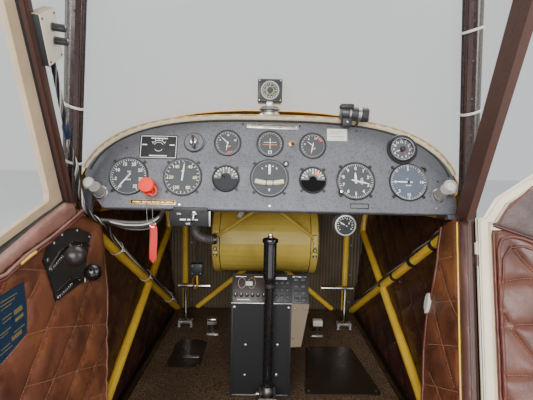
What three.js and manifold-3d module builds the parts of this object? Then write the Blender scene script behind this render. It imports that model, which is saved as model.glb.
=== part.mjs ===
// Forward cockpit section of a high-wing light aircraft, in millimetres.
// X points right, Y points forward, Z points up. The origin is on the underside of the belly, below the
// lower edge of the instrument panel.

import * as THREE from 'three';
import { mergeVertices } from 'three/addons/utils/BufferGeometryUtils.js';
import Module from 'manifold-3d';

const wasm = await Module();
wasm.setup();

// Driving dimensions
const GAP = 0.3;
const FRONT_Y = 690;
const REAR_Y = -640;
const LONGERON_Z = 16;
const FLOOR_HALF = 343;
const SILL_Z = 505;
const SILL_HALF = 391;
const ROOF_Z = 1050;
const ROOF_HALF = 306;
const FLOOR_TOP = 36;
const FLOOR_SHEET = 6;
const BELLY_SHEET = 3;
const TUBE_R = 11.5;
const LONGERON_R = LONGERON_Z - BELLY_SHEET - GAP;
const POST_R = 14;
const SKIN_INNER = 16;
const SKIN = 2;
const POST_TOP_Y = -20;
const POST_FOOT_Y = -200;
const SCREEN_TOP_Y = -128;
const BRACE_FOOT = [-40, 518];
const BRACE_TOP_Y = -378;
const WINDOW_TOP_Z = ROOF_Z - TUBE_R - GAP;
const PANEL_Z = 512;
const PANEL_TILT = 16;
const PANEL_SHEET = 4;
const PANEL_HALF = 389;
const PANEL_RISE = 187;
const PANEL_POWER = 2.9;
const FRAME_FRONT_Y = FRONT_Y - GAP - TUBE_R;
const DOOR_OPEN = 70;

// Cabin half-width at a height, on the planes through the tube centres
const lowerPlane = (z) => FLOOR_HALF + (SILL_HALF - FLOOR_HALF) * (z - LONGERON_Z) / (SILL_Z - LONGERON_Z);
const upperPlane = (z) => SILL_HALF + (ROOF_HALF - SILL_HALF) * (z - SILL_Z) / (ROOF_Z - SILL_Z);
const cabinHalf = (z) => (z < SILL_Z ? lowerPlane(z) : upperPlane(z));
const lerp = THREE.MathUtils.lerp;
const rad = THREE.MathUtils.degToRad;
const vec = (x, y, z) => new THREE.Vector3(x, y, z);

// Materials
function paint(color, roughness, metalness) {
  return new THREE.MeshStandardMaterial({ color, roughness, metalness });
}
const YELLOW = () => paint(0xd9a514, 0.45, 0.1);
const BROWN_VINYL = () => paint(0x4a2b23, 0.5, 0);
const LEATHER = () => paint(0x6b3a24, 0.5, 0);
const DARK_LEATHER = () => paint(0x3a2016, 0.6, 0);
const CREAM = () => paint(0xe6d9b8, 0.45, 0.05);
const BLACK = () => paint(0x17181a, 0.45, 0);
const PANEL_GREY = () => paint(0x3d3f43, 0.6, 0.1);
const CHROME = () => paint(0xc8c8c8, 0.2, 1);
const ALUMINIUM = () => paint(0xb4b4b0, 0.4, 0.9);
const CARPET = () => paint(0x5d4a38, 0.95, 0);
const FIREWALL_TAN = () => paint(0x8b8070, 0.6, 0.2);

function clearSheet() {
  const glass = paint(0xdfe8ea, 0.05, 0);
  glass.transparent = true;
  glass.opacity = 0.3;
  return glass;
}

// Solids
function solidOf(geometry) {
  const plain = geometry.clone();
  plain.deleteAttribute('normal');
  plain.deleteAttribute('uv');
  const merged = mergeVertices(plain, 1e-4);
  const vertProperties = new Float32Array(merged.attributes.position.array);
  const triVerts = new Uint32Array(merged.index.array);
  if (signedVolume(vertProperties, triVerts) < 0) {
    for (let i = 0; i < triVerts.length; i += 3) {
      [triVerts[i], triVerts[i + 1]] = [triVerts[i + 1], triVerts[i]];
    }
  }
  return new wasm.Manifold(new wasm.Mesh({ numProp: 3, vertProperties, triVerts }));
}

function signedVolume(points, triangles) {
  const corner = (i) => vec(points[3 * i], points[3 * i + 1], points[3 * i + 2]);
  let volume = 0;
  for (let i = 0; i < triangles.length; i += 3) {
    const [a, b, c] = [corner(triangles[i]), corner(triangles[i + 1]), corner(triangles[i + 2])];
    volume += a.dot(b.cross(c)) / 6;
  }
  return volume;
}

const union = (solids) => solids.reduce((sum, next) => sum.add(next));
const cut = (solid, cutters) => cutters.reduce((left, next) => left.subtract(next), solid);

const model = new THREE.Group();

function add(name, solid, material, group = model) {
  const result = solid.getMesh();
  const geometry = new THREE.BufferGeometry();
  geometry.setAttribute('position', new THREE.BufferAttribute(new Float32Array(result.vertProperties), 3));
  geometry.setIndex(new THREE.BufferAttribute(new Uint32Array(result.triVerts), 1));
  geometry.computeVertexNormals();
  const mesh = new THREE.Mesh(geometry, material);
  mesh.name = name;
  group.add(mesh);
  return solid;
}

function box(low, high) {
  const size = high.map((value, i) => value - low[i]);
  const geometry = new THREE.BoxGeometry(...size);
  geometry.translate(...low.map((value, i) => value + size[i] / 2));
  return solidOf(geometry);
}

function rod(start, end, radius, sides = 10, endRadius = radius) {
  const along = end.clone().sub(start);
  const geometry = new THREE.CylinderGeometry(endRadius, radius, along.length(), sides);
  const turn = new THREE.Quaternion().setFromUnitVectors(vec(0, 1, 0), along.clone().normalize());
  geometry.applyQuaternion(turn);
  geometry.translate(...start.clone().add(end).multiplyScalar(0.5).toArray());
  return solidOf(geometry);
}

function ball(centre, radius, sides = 10) {
  const geometry = new THREE.SphereGeometry(radius, sides, Math.max(5, sides / 2));
  geometry.translate(...centre.toArray());
  return solidOf(geometry);
}

// A run is { radius, points }: straight tubes from point to point, with a ball at each inner point
function tubes(runs, grow = 0, sides = 10) {
  const parts = [];
  for (const { radius, points } of runs) {
    for (let i = 1; i < points.length; i += 1) {
      parts.push(rod(points[i - 1], points[i], radius + grow, sides));
      if (i > 1) parts.push(ball(points[i - 1], radius + grow, sides));
    }
  }
  return union(parts);
}

function shapeOf(points) {
  return new THREE.Shape(points.map(([x, y]) => new THREE.Vector2(x, y)));
}

// A plate in a side plane: its outline is a list of [y, z], and it lies from inner to outer off the plane
function sidePlate(outline, side, inner, outer, plane = lowerPlane, holes = []) {
  const shape = shapeOf(outline);
  shape.holes = holes.map((hole) => shapeOf(hole));
  const geometry = new THREE.ExtrudeGeometry(shape, { depth: outer - inner, bevelEnabled: false });
  const position = geometry.attributes.position;
  for (let i = 0; i < position.count; i += 1) {
    const [y, z, depth] = [position.getX(i), position.getY(i), position.getZ(i)];
    position.setXYZ(i, side * (plane(z) + inner + depth), y, z);
  }
  return solidOf(geometry);
}

// A profile in Y and Z, extruded along X
function profile(outline, left, right) {
  const geometry = new THREE.ExtrudeGeometry(shapeOf(outline), { depth: right - left, bevelEnabled: false });
  const position = geometry.attributes.position;
  for (let i = 0; i < position.count; i += 1) {
    const [y, z, depth] = [position.getX(i), position.getY(i), position.getZ(i)];
    position.setXYZ(i, left + depth, y, z);
  }
  return solidOf(geometry);
}

// A closed body from rings of points, capped by fans from each end ring's centre
function loft(rings) {
  const count = rings[0].length;
  const points = rings.flat();
  const index = [];
  for (let i = 0; i < rings.length - 1; i += 1) {
    for (let j = 0; j < count; j += 1) {
      const [a, b] = [i * count + j, i * count + (j + 1) % count];
      index.push(a, b, b + count, a, b + count, a + count);
    }
  }
  for (const [ring, first, flip] of [[rings[0], 0, true], [rings.at(-1), (rings.length - 1) * count, false]]) {
    const centre = ring.reduce((sum, p) => sum.add(p), vec(0, 0, 0)).divideScalar(count);
    points.push(centre);
    for (let j = 0; j < count; j += 1) {
      const [a, b] = [first + j, first + (j + 1) % count];
      index.push(...(flip ? [b, a, points.length - 1] : [a, b, points.length - 1]));
    }
  }
  return meshSolid(points, index);
}

function meshSolid(points, index) {
  const geometry = new THREE.BufferGeometry();
  const flat = new Float32Array(points.flatMap((p) => p.toArray()));
  geometry.setAttribute('position', new THREE.BufferAttribute(flat, 3));
  geometry.setIndex(index);
  return solidOf(geometry);
}

// A sheet between two grids of points with the same rows and columns
function sheet(outer, inner) {
  const rows = outer.length;
  const columns = outer[0].length;
  const points = [...outer.flat(), ...inner.flat()];
  const under = rows * columns;
  const at = (i, j) => i * columns + j;
  const index = [];
  const quad = (a, b, c, d) => index.push(a, b, c, a, c, d);
  for (let i = 0; i < rows - 1; i += 1) {
    for (let j = 0; j < columns - 1; j += 1) {
      quad(at(i, j), at(i, j + 1), at(i + 1, j + 1), at(i + 1, j));
      quad(under + at(i, j), under + at(i + 1, j), under + at(i + 1, j + 1), under + at(i, j + 1));
    }
  }
  for (let j = 0; j < columns - 1; j += 1) {
    const last = rows - 1;
    quad(at(0, j + 1), at(0, j), under + at(0, j), under + at(0, j + 1));
    quad(at(last, j), at(last, j + 1), under + at(last, j + 1), under + at(last, j));
  }
  for (let i = 0; i < rows - 1; i += 1) {
    const last = columns - 1;
    quad(at(i, 0), at(i + 1, 0), under + at(i + 1, 0), under + at(i, 0));
    quad(at(i + 1, last), at(i, last), under + at(i, last), under + at(i + 1, last));
  }
  return meshSolid(points, index);
}

function lathe(points, sides) {
  return solidOf(new THREE.LatheGeometry(points.map(([r, y]) => new THREE.Vector2(r, y)), sides));
}

// A tube along a smooth curve through the given points
function cable(points, radius, steps, sides = 8) {
  const curve = new THREE.CatmullRomCurve3(points);
  const circle = new THREE.Shape();
  for (let i = 0; i < sides; i += 1) {
    const angle = 2 * Math.PI * i / sides;
    const corner = [radius * Math.cos(angle), radius * Math.sin(angle)];
    if (i === 0) circle.moveTo(...corner);
    else circle.lineTo(...corner);
  }
  return solidOf(new THREE.ExtrudeGeometry(circle, { steps, extrudePath: curve, bevelEnabled: false }));
}

// Tube frame
const onSide = (side, y, z) => vec(side * cabinHalf(z), y, z);

const CROSS_R = 10;
const CROSS_Z = FLOOR_TOP - FLOOR_SHEET - GAP - CROSS_R;
const floorRuns = [
  ...[-1, 1].map((side) => ({
    radius: LONGERON_R,
    points: [vec(side * FLOOR_HALF, REAR_Y - TUBE_R, LONGERON_Z), vec(side * FLOOR_HALF, FRONT_Y - GAP, LONGERON_Z)],
  })),
  ...[REAR_Y, POST_FOOT_Y, 240, FRAME_FRONT_Y].map((y) => ({
    radius: CROSS_R,
    points: [vec(-FLOOR_HALF, y, CROSS_Z), vec(FLOOR_HALF, y, CROSS_Z)],
  })),
];
add('floor_frame', tubes(floorRuns), YELLOW());
const floorCut = tubes(floorRuns, GAP);

// Side trusses: upper longeron, the crossing pair (the first has an upright at the firewall), the door post
// and, on the left, the window sill tube
const UPPER_FRONT = [FRAME_FRONT_Y, 466];
const WINDOW_SILL = [[POST_TOP_Y, SILL_Z + 6], [-40, 524], [-250, 453], [REAR_Y + TUBE_R + GAP, 453]];
const sideRuns = (side) => {
  const runs = [
    [[POST_TOP_Y, SILL_Z], UPPER_FRONT],
    [UPPER_FRONT, [FRAME_FRONT_Y - 6, 348], [-140, LONGERON_Z]],
    [[0, 492], [FRAME_FRONT_Y - 6, LONGERON_Z + 14]],
    [[POST_TOP_Y, SILL_Z], [POST_FOOT_Y, LONGERON_Z]],
  ];
  if (side < 0) runs.push(WINDOW_SILL);
  return runs.map((points) => ({ radius: TUBE_R, points: points.map(([y, z]) => onSide(side, y, z)) }));
};

// Hinge line of the right door: parallel to the door post, aft and outboard of it
const HINGE_AFT = 13.5;
const HINGE_OUT = 10;
const postDirection = onSide(1, POST_TOP_Y, SILL_Z).sub(onSide(1, POST_FOOT_Y, LONGERON_Z)).normalize();
const postPoint = (z, aft, out) => {
  const share = (z - LONGERON_Z) / (SILL_Z - LONGERON_Z);
  return vec(lowerPlane(z) + out, lerp(POST_FOOT_Y, POST_TOP_Y, share) - aft, z);
};
const hingePoint = (z) => postPoint(z, HINGE_AFT, HINGE_OUT);
const KNUCKLE_R = 4.5;
const KNUCKLE = 22;
const HINGE_HEIGHTS = [130, 420];

function bar(start, end, width, height, up) {
  const along = end.clone().sub(start);
  const forward = along.clone().normalize();
  const across = up.clone().cross(forward).normalize();
  const lift = forward.clone().cross(across);
  const geometry = new THREE.BoxGeometry(width, height, along.length());
  const turn = new THREE.Matrix4().makeBasis(across, lift, forward);
  geometry.applyMatrix4(turn);
  geometry.translate(...start.clone().add(end).multiplyScalar(0.5).toArray());
  return solidOf(geometry);
}

// The fixed half of each hinge: a knuckle on the hinge line and an arm back to the post
const fixedKnuckles = (grow) => HINGE_HEIGHTS.flatMap((z) => {
  const low = hingePoint(z);
  const high = low.clone().addScaledVector(postDirection, KNUCKLE);
  const middle = low.clone().addScaledVector(postDirection, KNUCKLE / 2);
  const root = postPoint(z + KNUCKLE / 2, 2, 2);
  return [
    rod(low, high, KNUCKLE_R + grow, 12),
    bar(root, middle, 6 + 2 * grow, KNUCKLE - 8 + 2 * grow, postDirection),
  ];
});

for (const [side, name] of [[-1, 'side_frame_left'], [1, 'side_frame_right']]) {
  let solid = cut(tubes(sideRuns(side)), [floorCut]);
  if (side > 0) solid = union([solid, ball(onSide(side, POST_TOP_Y, SILL_Z), TUBE_R), ...fixedKnuckles(0)]);
  else solid = union([solid, ball(onSide(side, POST_TOP_Y, SILL_Z), TUBE_R)]);
  add(name, solid, YELLOW());
}
const sideCut = (side) => tubes(sideRuns(side), GAP).add(ball(onSide(side, POST_TOP_Y, SILL_Z), TUBE_R + GAP));

// Firewall frame: two uprights and an inverted V between them
const UPRIGHT_X = 314;
const UPRIGHT_TOP = 505;
const V_APEX = 255;
const V_FOOT_X = 268;
const firewallRuns = [
  { radius: 11, points: [vec(-UPRIGHT_X, FRAME_FRONT_Y, CROSS_Z), vec(-UPRIGHT_X, FRAME_FRONT_Y, UPRIGHT_TOP),
    vec(UPRIGHT_X, FRAME_FRONT_Y, UPRIGHT_TOP), vec(UPRIGHT_X, FRAME_FRONT_Y, CROSS_Z)] },
  { radius: 9.5, points: [vec(-V_FOOT_X, FRAME_FRONT_Y, CROSS_Z + 12), vec(0, FRAME_FRONT_Y, V_APEX),
    vec(V_FOOT_X, FRAME_FRONT_Y, CROSS_Z + 12)] },
  { radius: 9.5, points: [vec(0, FRAME_FRONT_Y, V_APEX), vec(0, FRAME_FRONT_Y, UPRIGHT_TOP)] },
];
add('firewall_frame', cut(tubes(firewallRuns), [floorCut]), YELLOW());

// Upper frame: roof rails, cross tubes and the rear hoop
const hoopFoot = LONGERON_Z + 6;
const upperRuns = [
  ...[-1, 1].map((side) => ({
    radius: TUBE_R,
    points: [onSide(side, REAR_Y, hoopFoot), onSide(side, REAR_Y, SILL_Z), onSide(side, REAR_Y, ROOF_Z),
      onSide(side, SCREEN_TOP_Y, ROOF_Z)],
  })),
  ...[SCREEN_TOP_Y, BRACE_TOP_Y, REAR_Y].map((y) => ({
    radius: TUBE_R,
    points: [onSide(-1, y, ROOF_Z), onSide(1, y, ROOF_Z)],
  })),
];
const roofCorner = (grow) => [-1, 1].map((side) => ball(onSide(side, SCREEN_TOP_Y, ROOF_Z), TUBE_R + grow));
add('upper_frame', cut(union([tubes(upperRuns), ...roofCorner(0)]), [floorCut]), YELLOW());
const upperCut = union([tubes(upperRuns, GAP), ...roofCorner(GAP)]);

// Windscreen posts and window braces, covered in brown vinyl; the right brace stands inboard of the door
const postRun = (side) => ({
  radius: POST_R,
  points: [onSide(side, POST_TOP_Y + 2, SILL_Z + 8), onSide(side, SCREEN_TOP_Y, ROOF_Z)],
});
const BRACE_SIZE = [38, 14];
const BRACE_INBOARD = 13;
const BRACE_END_Z = 508;
const BRACE_START = [BRACE_FOOT[0] + 8, BRACE_FOOT[1] - 12];
function braceSolid(side, grow) {
  const inboard = side > 0 ? BRACE_INBOARD : 0;
  const foot = vec(side * (upperPlane(BRACE_START[1]) - inboard), ...BRACE_START);
  const top = vec(side * (ROOF_HALF - inboard), BRACE_TOP_Y, ROOF_Z);
  if (side < 0) return rod(foot, top, POST_R + grow, 12);
  return bar(foot, top, BRACE_SIZE[1] + 2 * grow, BRACE_SIZE[0] + 2 * grow, vec(0, 1, 0));
}
for (const [side, end] of [[-1, 'left'], [1, 'right']]) {
  add(`windscreen_post_${end}`, cut(tubes([postRun(side)], 0, 12), [upperCut, sideCut(side)]), BROWN_VINYL());
  const postCut = tubes([postRun(side)], GAP, 12);
  const aboveRail = box([-400, BRACE_TOP_Y - 60, ROOF_Z - 2], [400, BRACE_TOP_Y + 60, ROOF_Z + 60]);
  const belowEnd = box([-420, -120, BRACE_END_Z - 60], [420, 40, BRACE_END_Z]);
  const brace = cut(braceSolid(side, 0), [upperCut, sideCut(side), postCut, aboveRail, belowEnd]);
  add(`window_brace_${end}`, brace, BROWN_VINYL());
}

// Shell: belly, firewall, sides, cowl top, roof
const sheetOut = SKIN_INNER + SKIN;
add('belly_skin', box([-FLOOR_HALF - 13, REAR_Y - TUBE_R, 0], [FLOOR_HALF + 13, FRONT_Y + SKIN, BELLY_SHEET]),
  CREAM());

// The cowl's outer section: share 0 is at the panel and 1 at the firewall, and t runs from left to right
const COWL_CREST = [722, 655];
const COWL_START = 26;
const COWL_LEAN = 0.29;
const COWL_EDGE = [PANEL_Z + 2, UPPER_FRONT[1] + 10];
const COWL_POWER = 2.4;
function cowlPoint(share, t, inset) {
  const edge = lerp(...COWL_EDGE, share);
  const half = lowerPlane(edge) + sheetOut - inset;
  const rise = lerp(...COWL_CREST, share) - inset - edge;
  const power = 2 / COWL_POWER;
  const angle = Math.PI * (1 - t);
  const [c, s] = [Math.cos(angle), Math.sin(angle)];
  const x = half * Math.sign(c) * Math.abs(c) ** power;
  const z = edge + rise * Math.max(s, 0) ** power;
  const lean = COWL_LEAN * (z - edge) * (1 - share);
  return vec(x, lerp(COWL_START, FRONT_Y + SKIN, share) + lean, z);
}
const COWL_STEPS = 28;
const arch = (share, inset) => Array.from({ length: COWL_STEPS + 1 }, (_, j) => cowlPoint(share, j / COWL_STEPS, inset));
const cowlShares = [0, 0.25, 0.5, 0.75, 1];
add('cowl_top', sheet(cowlShares.map((s) => arch(s, 0)), cowlShares.map((s) => arch(s, SKIN))), paint(0xe0951a, 0.4, 0.1));

const firewallEdge = arch(1, SKIN + GAP);
const firewallOutline = [
  ...firewallEdge.map((p) => [p.x, p.z]),
  [lowerPlane(BELLY_SHEET) + SKIN_INNER - GAP, BELLY_SHEET + GAP],
  [-lowerPlane(BELLY_SHEET) - SKIN_INNER + GAP, BELLY_SHEET + GAP],
];
const firewallSheet = new THREE.ExtrudeGeometry(shapeOf(firewallOutline), { depth: SKIN, bevelEnabled: false });
firewallSheet.rotateX(Math.PI / 2);
firewallSheet.translate(0, FRONT_Y + SKIN, 0);
add('firewall', solidOf(firewallSheet), FIREWALL_TAN());

const skinTop = [[FRONT_Y + SKIN, COWL_EDGE[1] - GAP], [COWL_START, COWL_EDGE[0] - GAP]];
const leftSkin = [
  [FRONT_Y + SKIN, BELLY_SHEET + GAP], ...skinTop, [-26, 524], [-250, 450], [REAR_Y - TUBE_R, 450],
  [REAR_Y - TUBE_R, BELLY_SHEET + GAP],
];
const doorStep = 40;
const postLineY = (z) => lerp(POST_FOOT_Y, POST_TOP_Y, (z - LONGERON_Z) / (SILL_Z - LONGERON_Z));
const rightSkin = [
  [FRONT_Y + SKIN, BELLY_SHEET + GAP], ...skinTop, [postLineY(510), 510], [postLineY(doorStep), doorStep],
  [REAR_Y - TUBE_R, doorStep], [REAR_Y - TUBE_R, BELLY_SHEET + GAP],
];
add('outer_skin_left', sidePlate(leftSkin, -1, SKIN_INNER, sheetOut), CREAM());
add('outer_skin_right', cut(sidePlate(rightSkin, 1, SKIN_INNER, sheetOut), fixedKnuckles(GAP)), CREAM());

const ROOF_EDGE = ROOF_HALF + 34;
const ROOF_CROWN = 26;
const roofRow = (y, lift) => Array.from({ length: 13 }, (_, j) => {
  const share = j / 6 - 1;
  const rise = ROOF_CROWN * (1 - share * share);
  return vec(share * ROOF_EDGE, y, ROOF_Z + TUBE_R + GAP + lift - 5 + rise);
});
const roofYs = [REAR_Y - TUBE_R, BRACE_TOP_Y, SCREEN_TOP_Y + 12];
add('roof_skin', sheet(roofYs.map((y) => roofRow(y, SKIN)), roofYs.map((y) => roofRow(y, 0))), CREAM());

// Windscreen: a ruled sheet from the cowl up to the roof's front edge
const SCREEN_SHEET = 3;
const SCREEN_SIDE = -0.03;
const SCREEN_SWEEP = 0.2;
const SCREEN_TOP_X = ROOF_HALF + 8;
const SCREEN_ROWS = 5;
const SCREEN_OFF = 0.8;
function screenPoint(row, t, lift) {
  const angle = Math.PI * (1 - t);
  const share = SCREEN_SIDE + SCREEN_SWEEP * Math.max(Math.sin(angle), 0) ** 1.5;
  const base = cowlPoint(share, t, -SCREEN_OFF - lift);
  const across = 2 * t - 1;
  const crown = ROOF_CROWN * (1 - across * across);
  const top = vec(across * (SCREEN_TOP_X + lift), SCREEN_TOP_Y + 17 + lift * 0.9, ROOF_Z + TUBE_R - 6 + crown + lift * 0.5);
  return base.lerp(top, row);
}
const screenGrid = (lift) => Array.from({ length: SCREEN_ROWS + 1 }, (_, i) => (
  Array.from({ length: COWL_STEPS + 1 }, (_unused, j) => screenPoint(i / SCREEN_ROWS, j / COWL_STEPS, lift))));
add('windscreen', sheet(screenGrid(SCREEN_SHEET), screenGrid(0)), clearSheet());

// Side windows
const braceY = (z) => BRACE_FOOT[0] + (BRACE_TOP_Y - BRACE_FOOT[0]) * (z - BRACE_FOOT[1]) / (ROOF_Z - BRACE_FOOT[1]);
const screenPostY = (z) => lerp(POST_TOP_Y, SCREEN_TOP_Y, (z - SILL_Z) / (ROOF_Z - SILL_Z));
const GLASS = 3;
for (const [side, end] of [[-1, 'left'], [1, 'right']]) {
  const away = side < 0 ? 18 : 24;
  const pane = [
    [screenPostY(590) - 19, 590], [screenPostY(WINDOW_TOP_Z) - 16, WINDOW_TOP_Z],
    [braceY(WINDOW_TOP_Z) + away, WINDOW_TOP_Z],
  ];
  const solid = sidePlate(pane, side, -GLASS / 2, GLASS / 2, upperPlane);
  const neighbours = [tubes([postRun(side)], GAP, 12), braceSolid(side, GAP), upperCut];
  add(`quarter_window_${end}`, cut(solid, neighbours), clearSheet());
}

const FRAME_BAR = 18;
const sillLift = TUBE_R + 0.6;
const windowOutline = [
  [braceY(560) - 12, 548], [braceY(WINDOW_TOP_Z) - 12, WINDOW_TOP_Z], [REAR_Y + TUBE_R + GAP, WINDOW_TOP_Z],
  [REAR_Y + TUBE_R + GAP, 453 + sillLift], [-250, 453 + sillLift], [-60, 519 + sillLift],
];
const windowHole = [
  [braceY(560) - 46, 548], [braceY(WINDOW_TOP_Z - FRAME_BAR) - 34, WINDOW_TOP_Z - FRAME_BAR],
  [REAR_Y + 30, WINDOW_TOP_Z - FRAME_BAR], [REAR_Y + 30, 453 + 30], [-250, 453 + 30], [-110, 503 + 30],
];
const leftBraceCut = [braceSolid(-1, GAP), upperCut, sideCut(-1)];
const windowFrame = sidePlate(windowOutline, -1, -5, 5, upperPlane, [windowHole]);
add('side_window_frame', cut(windowFrame, leftBraceCut), CREAM());
const glassOutline = windowHole.map(([y, z]) => [lerp(y, -380, 0.0018), lerp(z, 750, 0.0018)]);
add('side_window_glass', sidePlate(glassOutline, -1, -GLASS / 2, GLASS / 2, upperPlane), clearSheet());

// Floor, with the bearing blocks of the control stick and the brackets of the pedals
const FLOOR_WIDE = 328;
const STICK_Y = 86;
const STICK_X = 4;
const PIVOT_Z = 60;
const PEDAL_Y = 500;
const PEDAL_Z = 48;
const SHAFT_R = 6.5;
const STEM_X = 276;
const TORQUE_R = 11;
const BEARINGS = [-50, 30];
const bearingBlocks = BEARINGS.map((y) => {
  const block = box([STICK_X - 20, y - 8, FLOOR_TOP - 1], [STICK_X + 20, y + 8, PIVOT_Z + 19]);
  return block.subtract(rod(vec(STICK_X, y - 20, PIVOT_Z), vec(STICK_X, y + 20, PIVOT_Z), TORQUE_R + 0.5, 16));
});
const pedalBrackets = [-1, 1].flatMap((side) => {
  const x = side * STEM_X;
  const ears = [-21, 21].map((off) => (
    box([x + off - 3, PEDAL_Y - 12, FLOOR_TOP - 1], [x + off + 3, PEDAL_Y + 12, PEDAL_Z + 9])));
  return [rod(vec(x - 22, PEDAL_Y, PEDAL_Z), vec(x + 22, PEDAL_Y, PEDAL_Z), SHAFT_R, 16), ...ears];
});
const floorBoard = box([-FLOOR_WIDE, REAR_Y + 13, FLOOR_TOP - FLOOR_SHEET], [FLOOR_WIDE, 656, FLOOR_TOP]);
add('floor_board', union([floorBoard, ...bearingBlocks, ...pedalBrackets]), CARPET());

// Leather linings: cabin linings inboard of the tubes, footwell linings outboard of them
const LINING = 4;
const liningInner = -TUBE_R - GAP - LINING;
const leftLining = [
  [52, 476], [30, 44], [REAR_Y + 13, 44], [REAR_Y + 13, 461], [-250, 461], [-60, 526], [-30, 512], [-14, 492],
];
const rightLining = [
  [52, 484], [20, 44], [postLineY(44) + 4, 44], [postLineY(500) + 4, 500],
];
const liningCut = (side) => [tubes([postRun(side)], GAP, 12), braceSolid(side, GAP)];
const leftLiningCut = [...liningCut(-1), sideCut(-1)];
add('cabin_lining_left', cut(sidePlate(leftLining, -1, liningInner, liningInner + LINING), leftLiningCut), LEATHER());
add('cabin_lining_right', cut(sidePlate(rightLining, 1, liningInner, liningInner + LINING), liningCut(1)), LEATHER());
const trimOutline = [[REAR_Y + 13, 440], [-250, 447], [-136, 474], [-66, 490], [-76, 528], [-250, 470], [REAR_Y + 13, 470]];
const trimFace = liningInner - GAP;
add('sill_trim_left', cut(sidePlate(trimOutline, -1, trimFace - 8, trimFace), liningCut(-1)), LEATHER());
const footwell = [[FRONT_Y - GAP, 32], [FRONT_Y - GAP, UPPER_FRONT[1]], [44, 494], [20, 32]];
for (const [side, end] of [[-1, 'left'], [1, 'right']]) {
  add(`footwell_lining_${end}`, sidePlate(footwell, side, TUBE_R + GAP, SKIN_INNER - GAP), DARK_LEATHER());
}

// Vinyl cover round the inboard side of the right door post
const COVER_R = 17.5;
const coverRun = { radius: COVER_R, points: [postPoint(46, 0, 0), postPoint(496, 0, 0)] };
const outboardOfCover = sidePlate([[200, -50], [200, 600], [-400, 600], [-400, -50]], 1, -4, 60);
const aheadOfCover = sidePlate([[200, 0], [postLineY(0) + 4, 0], [postLineY(560) + 4, 560], [200, 560]], 1, -40, 40);
add('door_post_cover', cut(tubes([coverRun], 0, 20), [sideCut(1), floorCut, braceSolid(1, GAP), outboardOfCover,
  aheadOfCover, ...fixedKnuckles(GAP)]), BROWN_VINYL());

// Instrument panel: local X across, local Y up the slope, local Z towards the seat
const panel = new THREE.Group();
panel.position.set(0, 0, PANEL_Z);
const slopeUp = vec(0, Math.sin(rad(PANEL_TILT)), Math.cos(rad(PANEL_TILT)));
const slopeOut = vec(0, -Math.cos(rad(PANEL_TILT)), Math.sin(rad(PANEL_TILT)));
const panelTurn = new THREE.Matrix4().makeBasis(vec(1, 0, 0), slopeUp, slopeOut);
panel.quaternion.setFromRotationMatrix(panelTurn);
model.add(panel);
const toPanel = panelTurn.clone().setPosition(0, 0, PANEL_Z).invert();
const panelLocal = (solid) => solid.transform(toPanel.elements);

// Columns: name, across, up the slope, radius of the bezel
const INSTRUMENTS = [
  ['tachometer', -290.7, 63.8, 40],
  ['airspeed_indicator', -180.4, 64.4, 40],
  ['oil_temperature_gauge', -91.5, 62.9, 28.5],
  ['turn_indicator', -2.3, 65.5, 40],
  ['oil_pressure_gauge', 87.1, 63.3, 28.5],
  ['altimeter', 175.4, 62.9, 40],
  ['climb_indicator', 284, 62.8, 40],
  ['upper_gauge_left', -90.6, 139.2, 28.5],
  ['upper_gauge_middle', -2.1, 139.3, 28.5],
  ['upper_gauge_right', 87, 136.9, 28.5],
  ['clock', 273.6, 132.5, 27],
];
const BODY_STEP = 3;
const archPower = 2 / PANEL_POWER;
function panelArch(from, to, steps, half, rise) {
  return Array.from({ length: steps + 1 }, (_, i) => {
    const angle = lerp(from, to, i / steps);
    const [c, s] = [Math.cos(angle), Math.sin(angle)];
    return [half * Math.sign(c) * Math.abs(c) ** archPower, rise * Math.abs(s) ** archPower];
  });
}
const panelOutline = [[-339, 0], [374, 0], [380, 8], ...panelArch(0.24, Math.PI - 0.24, 30, PANEL_HALF, PANEL_RISE),
  [-369, 35]];
const panelShape = shapeOf(panelOutline);
const HOLE_SIDES = 24;
panelShape.holes = INSTRUMENTS.map(([, across, up, radius]) => {
  const ring = Array.from({ length: HOLE_SIDES }, (_, i) => {
    const angle = -2 * Math.PI * i / HOLE_SIDES;
    const reach = radius - BODY_STEP + 0.5;
    return [across + reach * Math.cos(angle), up + reach * Math.sin(angle)];
  });
  return shapeOf(ring);
});
const panelSheet = new THREE.ExtrudeGeometry(panelShape, { depth: PANEL_SHEET, bevelEnabled: false });
panelSheet.translate(0, 0, -PANEL_SHEET);
const lip = rod(vec(-337, 1, -PANEL_SHEET), vec(376, 1, -PANEL_SHEET), PANEL_SHEET, 12);
const lipFlange = box([-337, -3, -22], [376, -0.5, -PANEL_SHEET]);
const magnetoBoss = rod(vec(-160, 139.9, -PANEL_SHEET / 2), vec(-160, 139.9, 5), 21.5, HOLE_SIDES);
const ventBosses = [[-343.1, 27.8], [344.2, 36.1]].map(([x, up]) => (
  union([rod(vec(x, up, -1), vec(x, up, 10), 12, 16), rod(vec(x, up, 5), vec(x, up + 6, 34), 11, 16)])));
const tabs = [-1, 1].map((side) => box([side * 372 - 9, -12, -14], [side * 372 + 9, 50, -PANEL_SHEET + 1]));
const panelBody = union([solidOf(panelSheet), lip, lipFlange, magnetoBoss, ...ventBosses, ...tabs]);
add('instrument_panel', cut(panelBody, [-1, 1].map((side) => panelLocal(sideCut(side)))), PANEL_GREY(), panel);

for (const [name, across, up, radius] of INSTRUMENTS) {
  const body = radius - BODY_STEP;
  const rise = 5;
  const outline = [[0, -60], [body - 4, -60], [body, -54], [body, GAP], [radius, GAP], [radius, rise - 1], [radius - 1, rise],
    [radius - 4, rise], [radius - 5, 1.5], [0, 1.5]];
  const solid = lathe(outline, HOLE_SIDES);
  const turned = solid.rotate([90, 0, 0]);
  add(name, turned.translate([across, up, 0]), BLACK(), panel);
}

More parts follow.
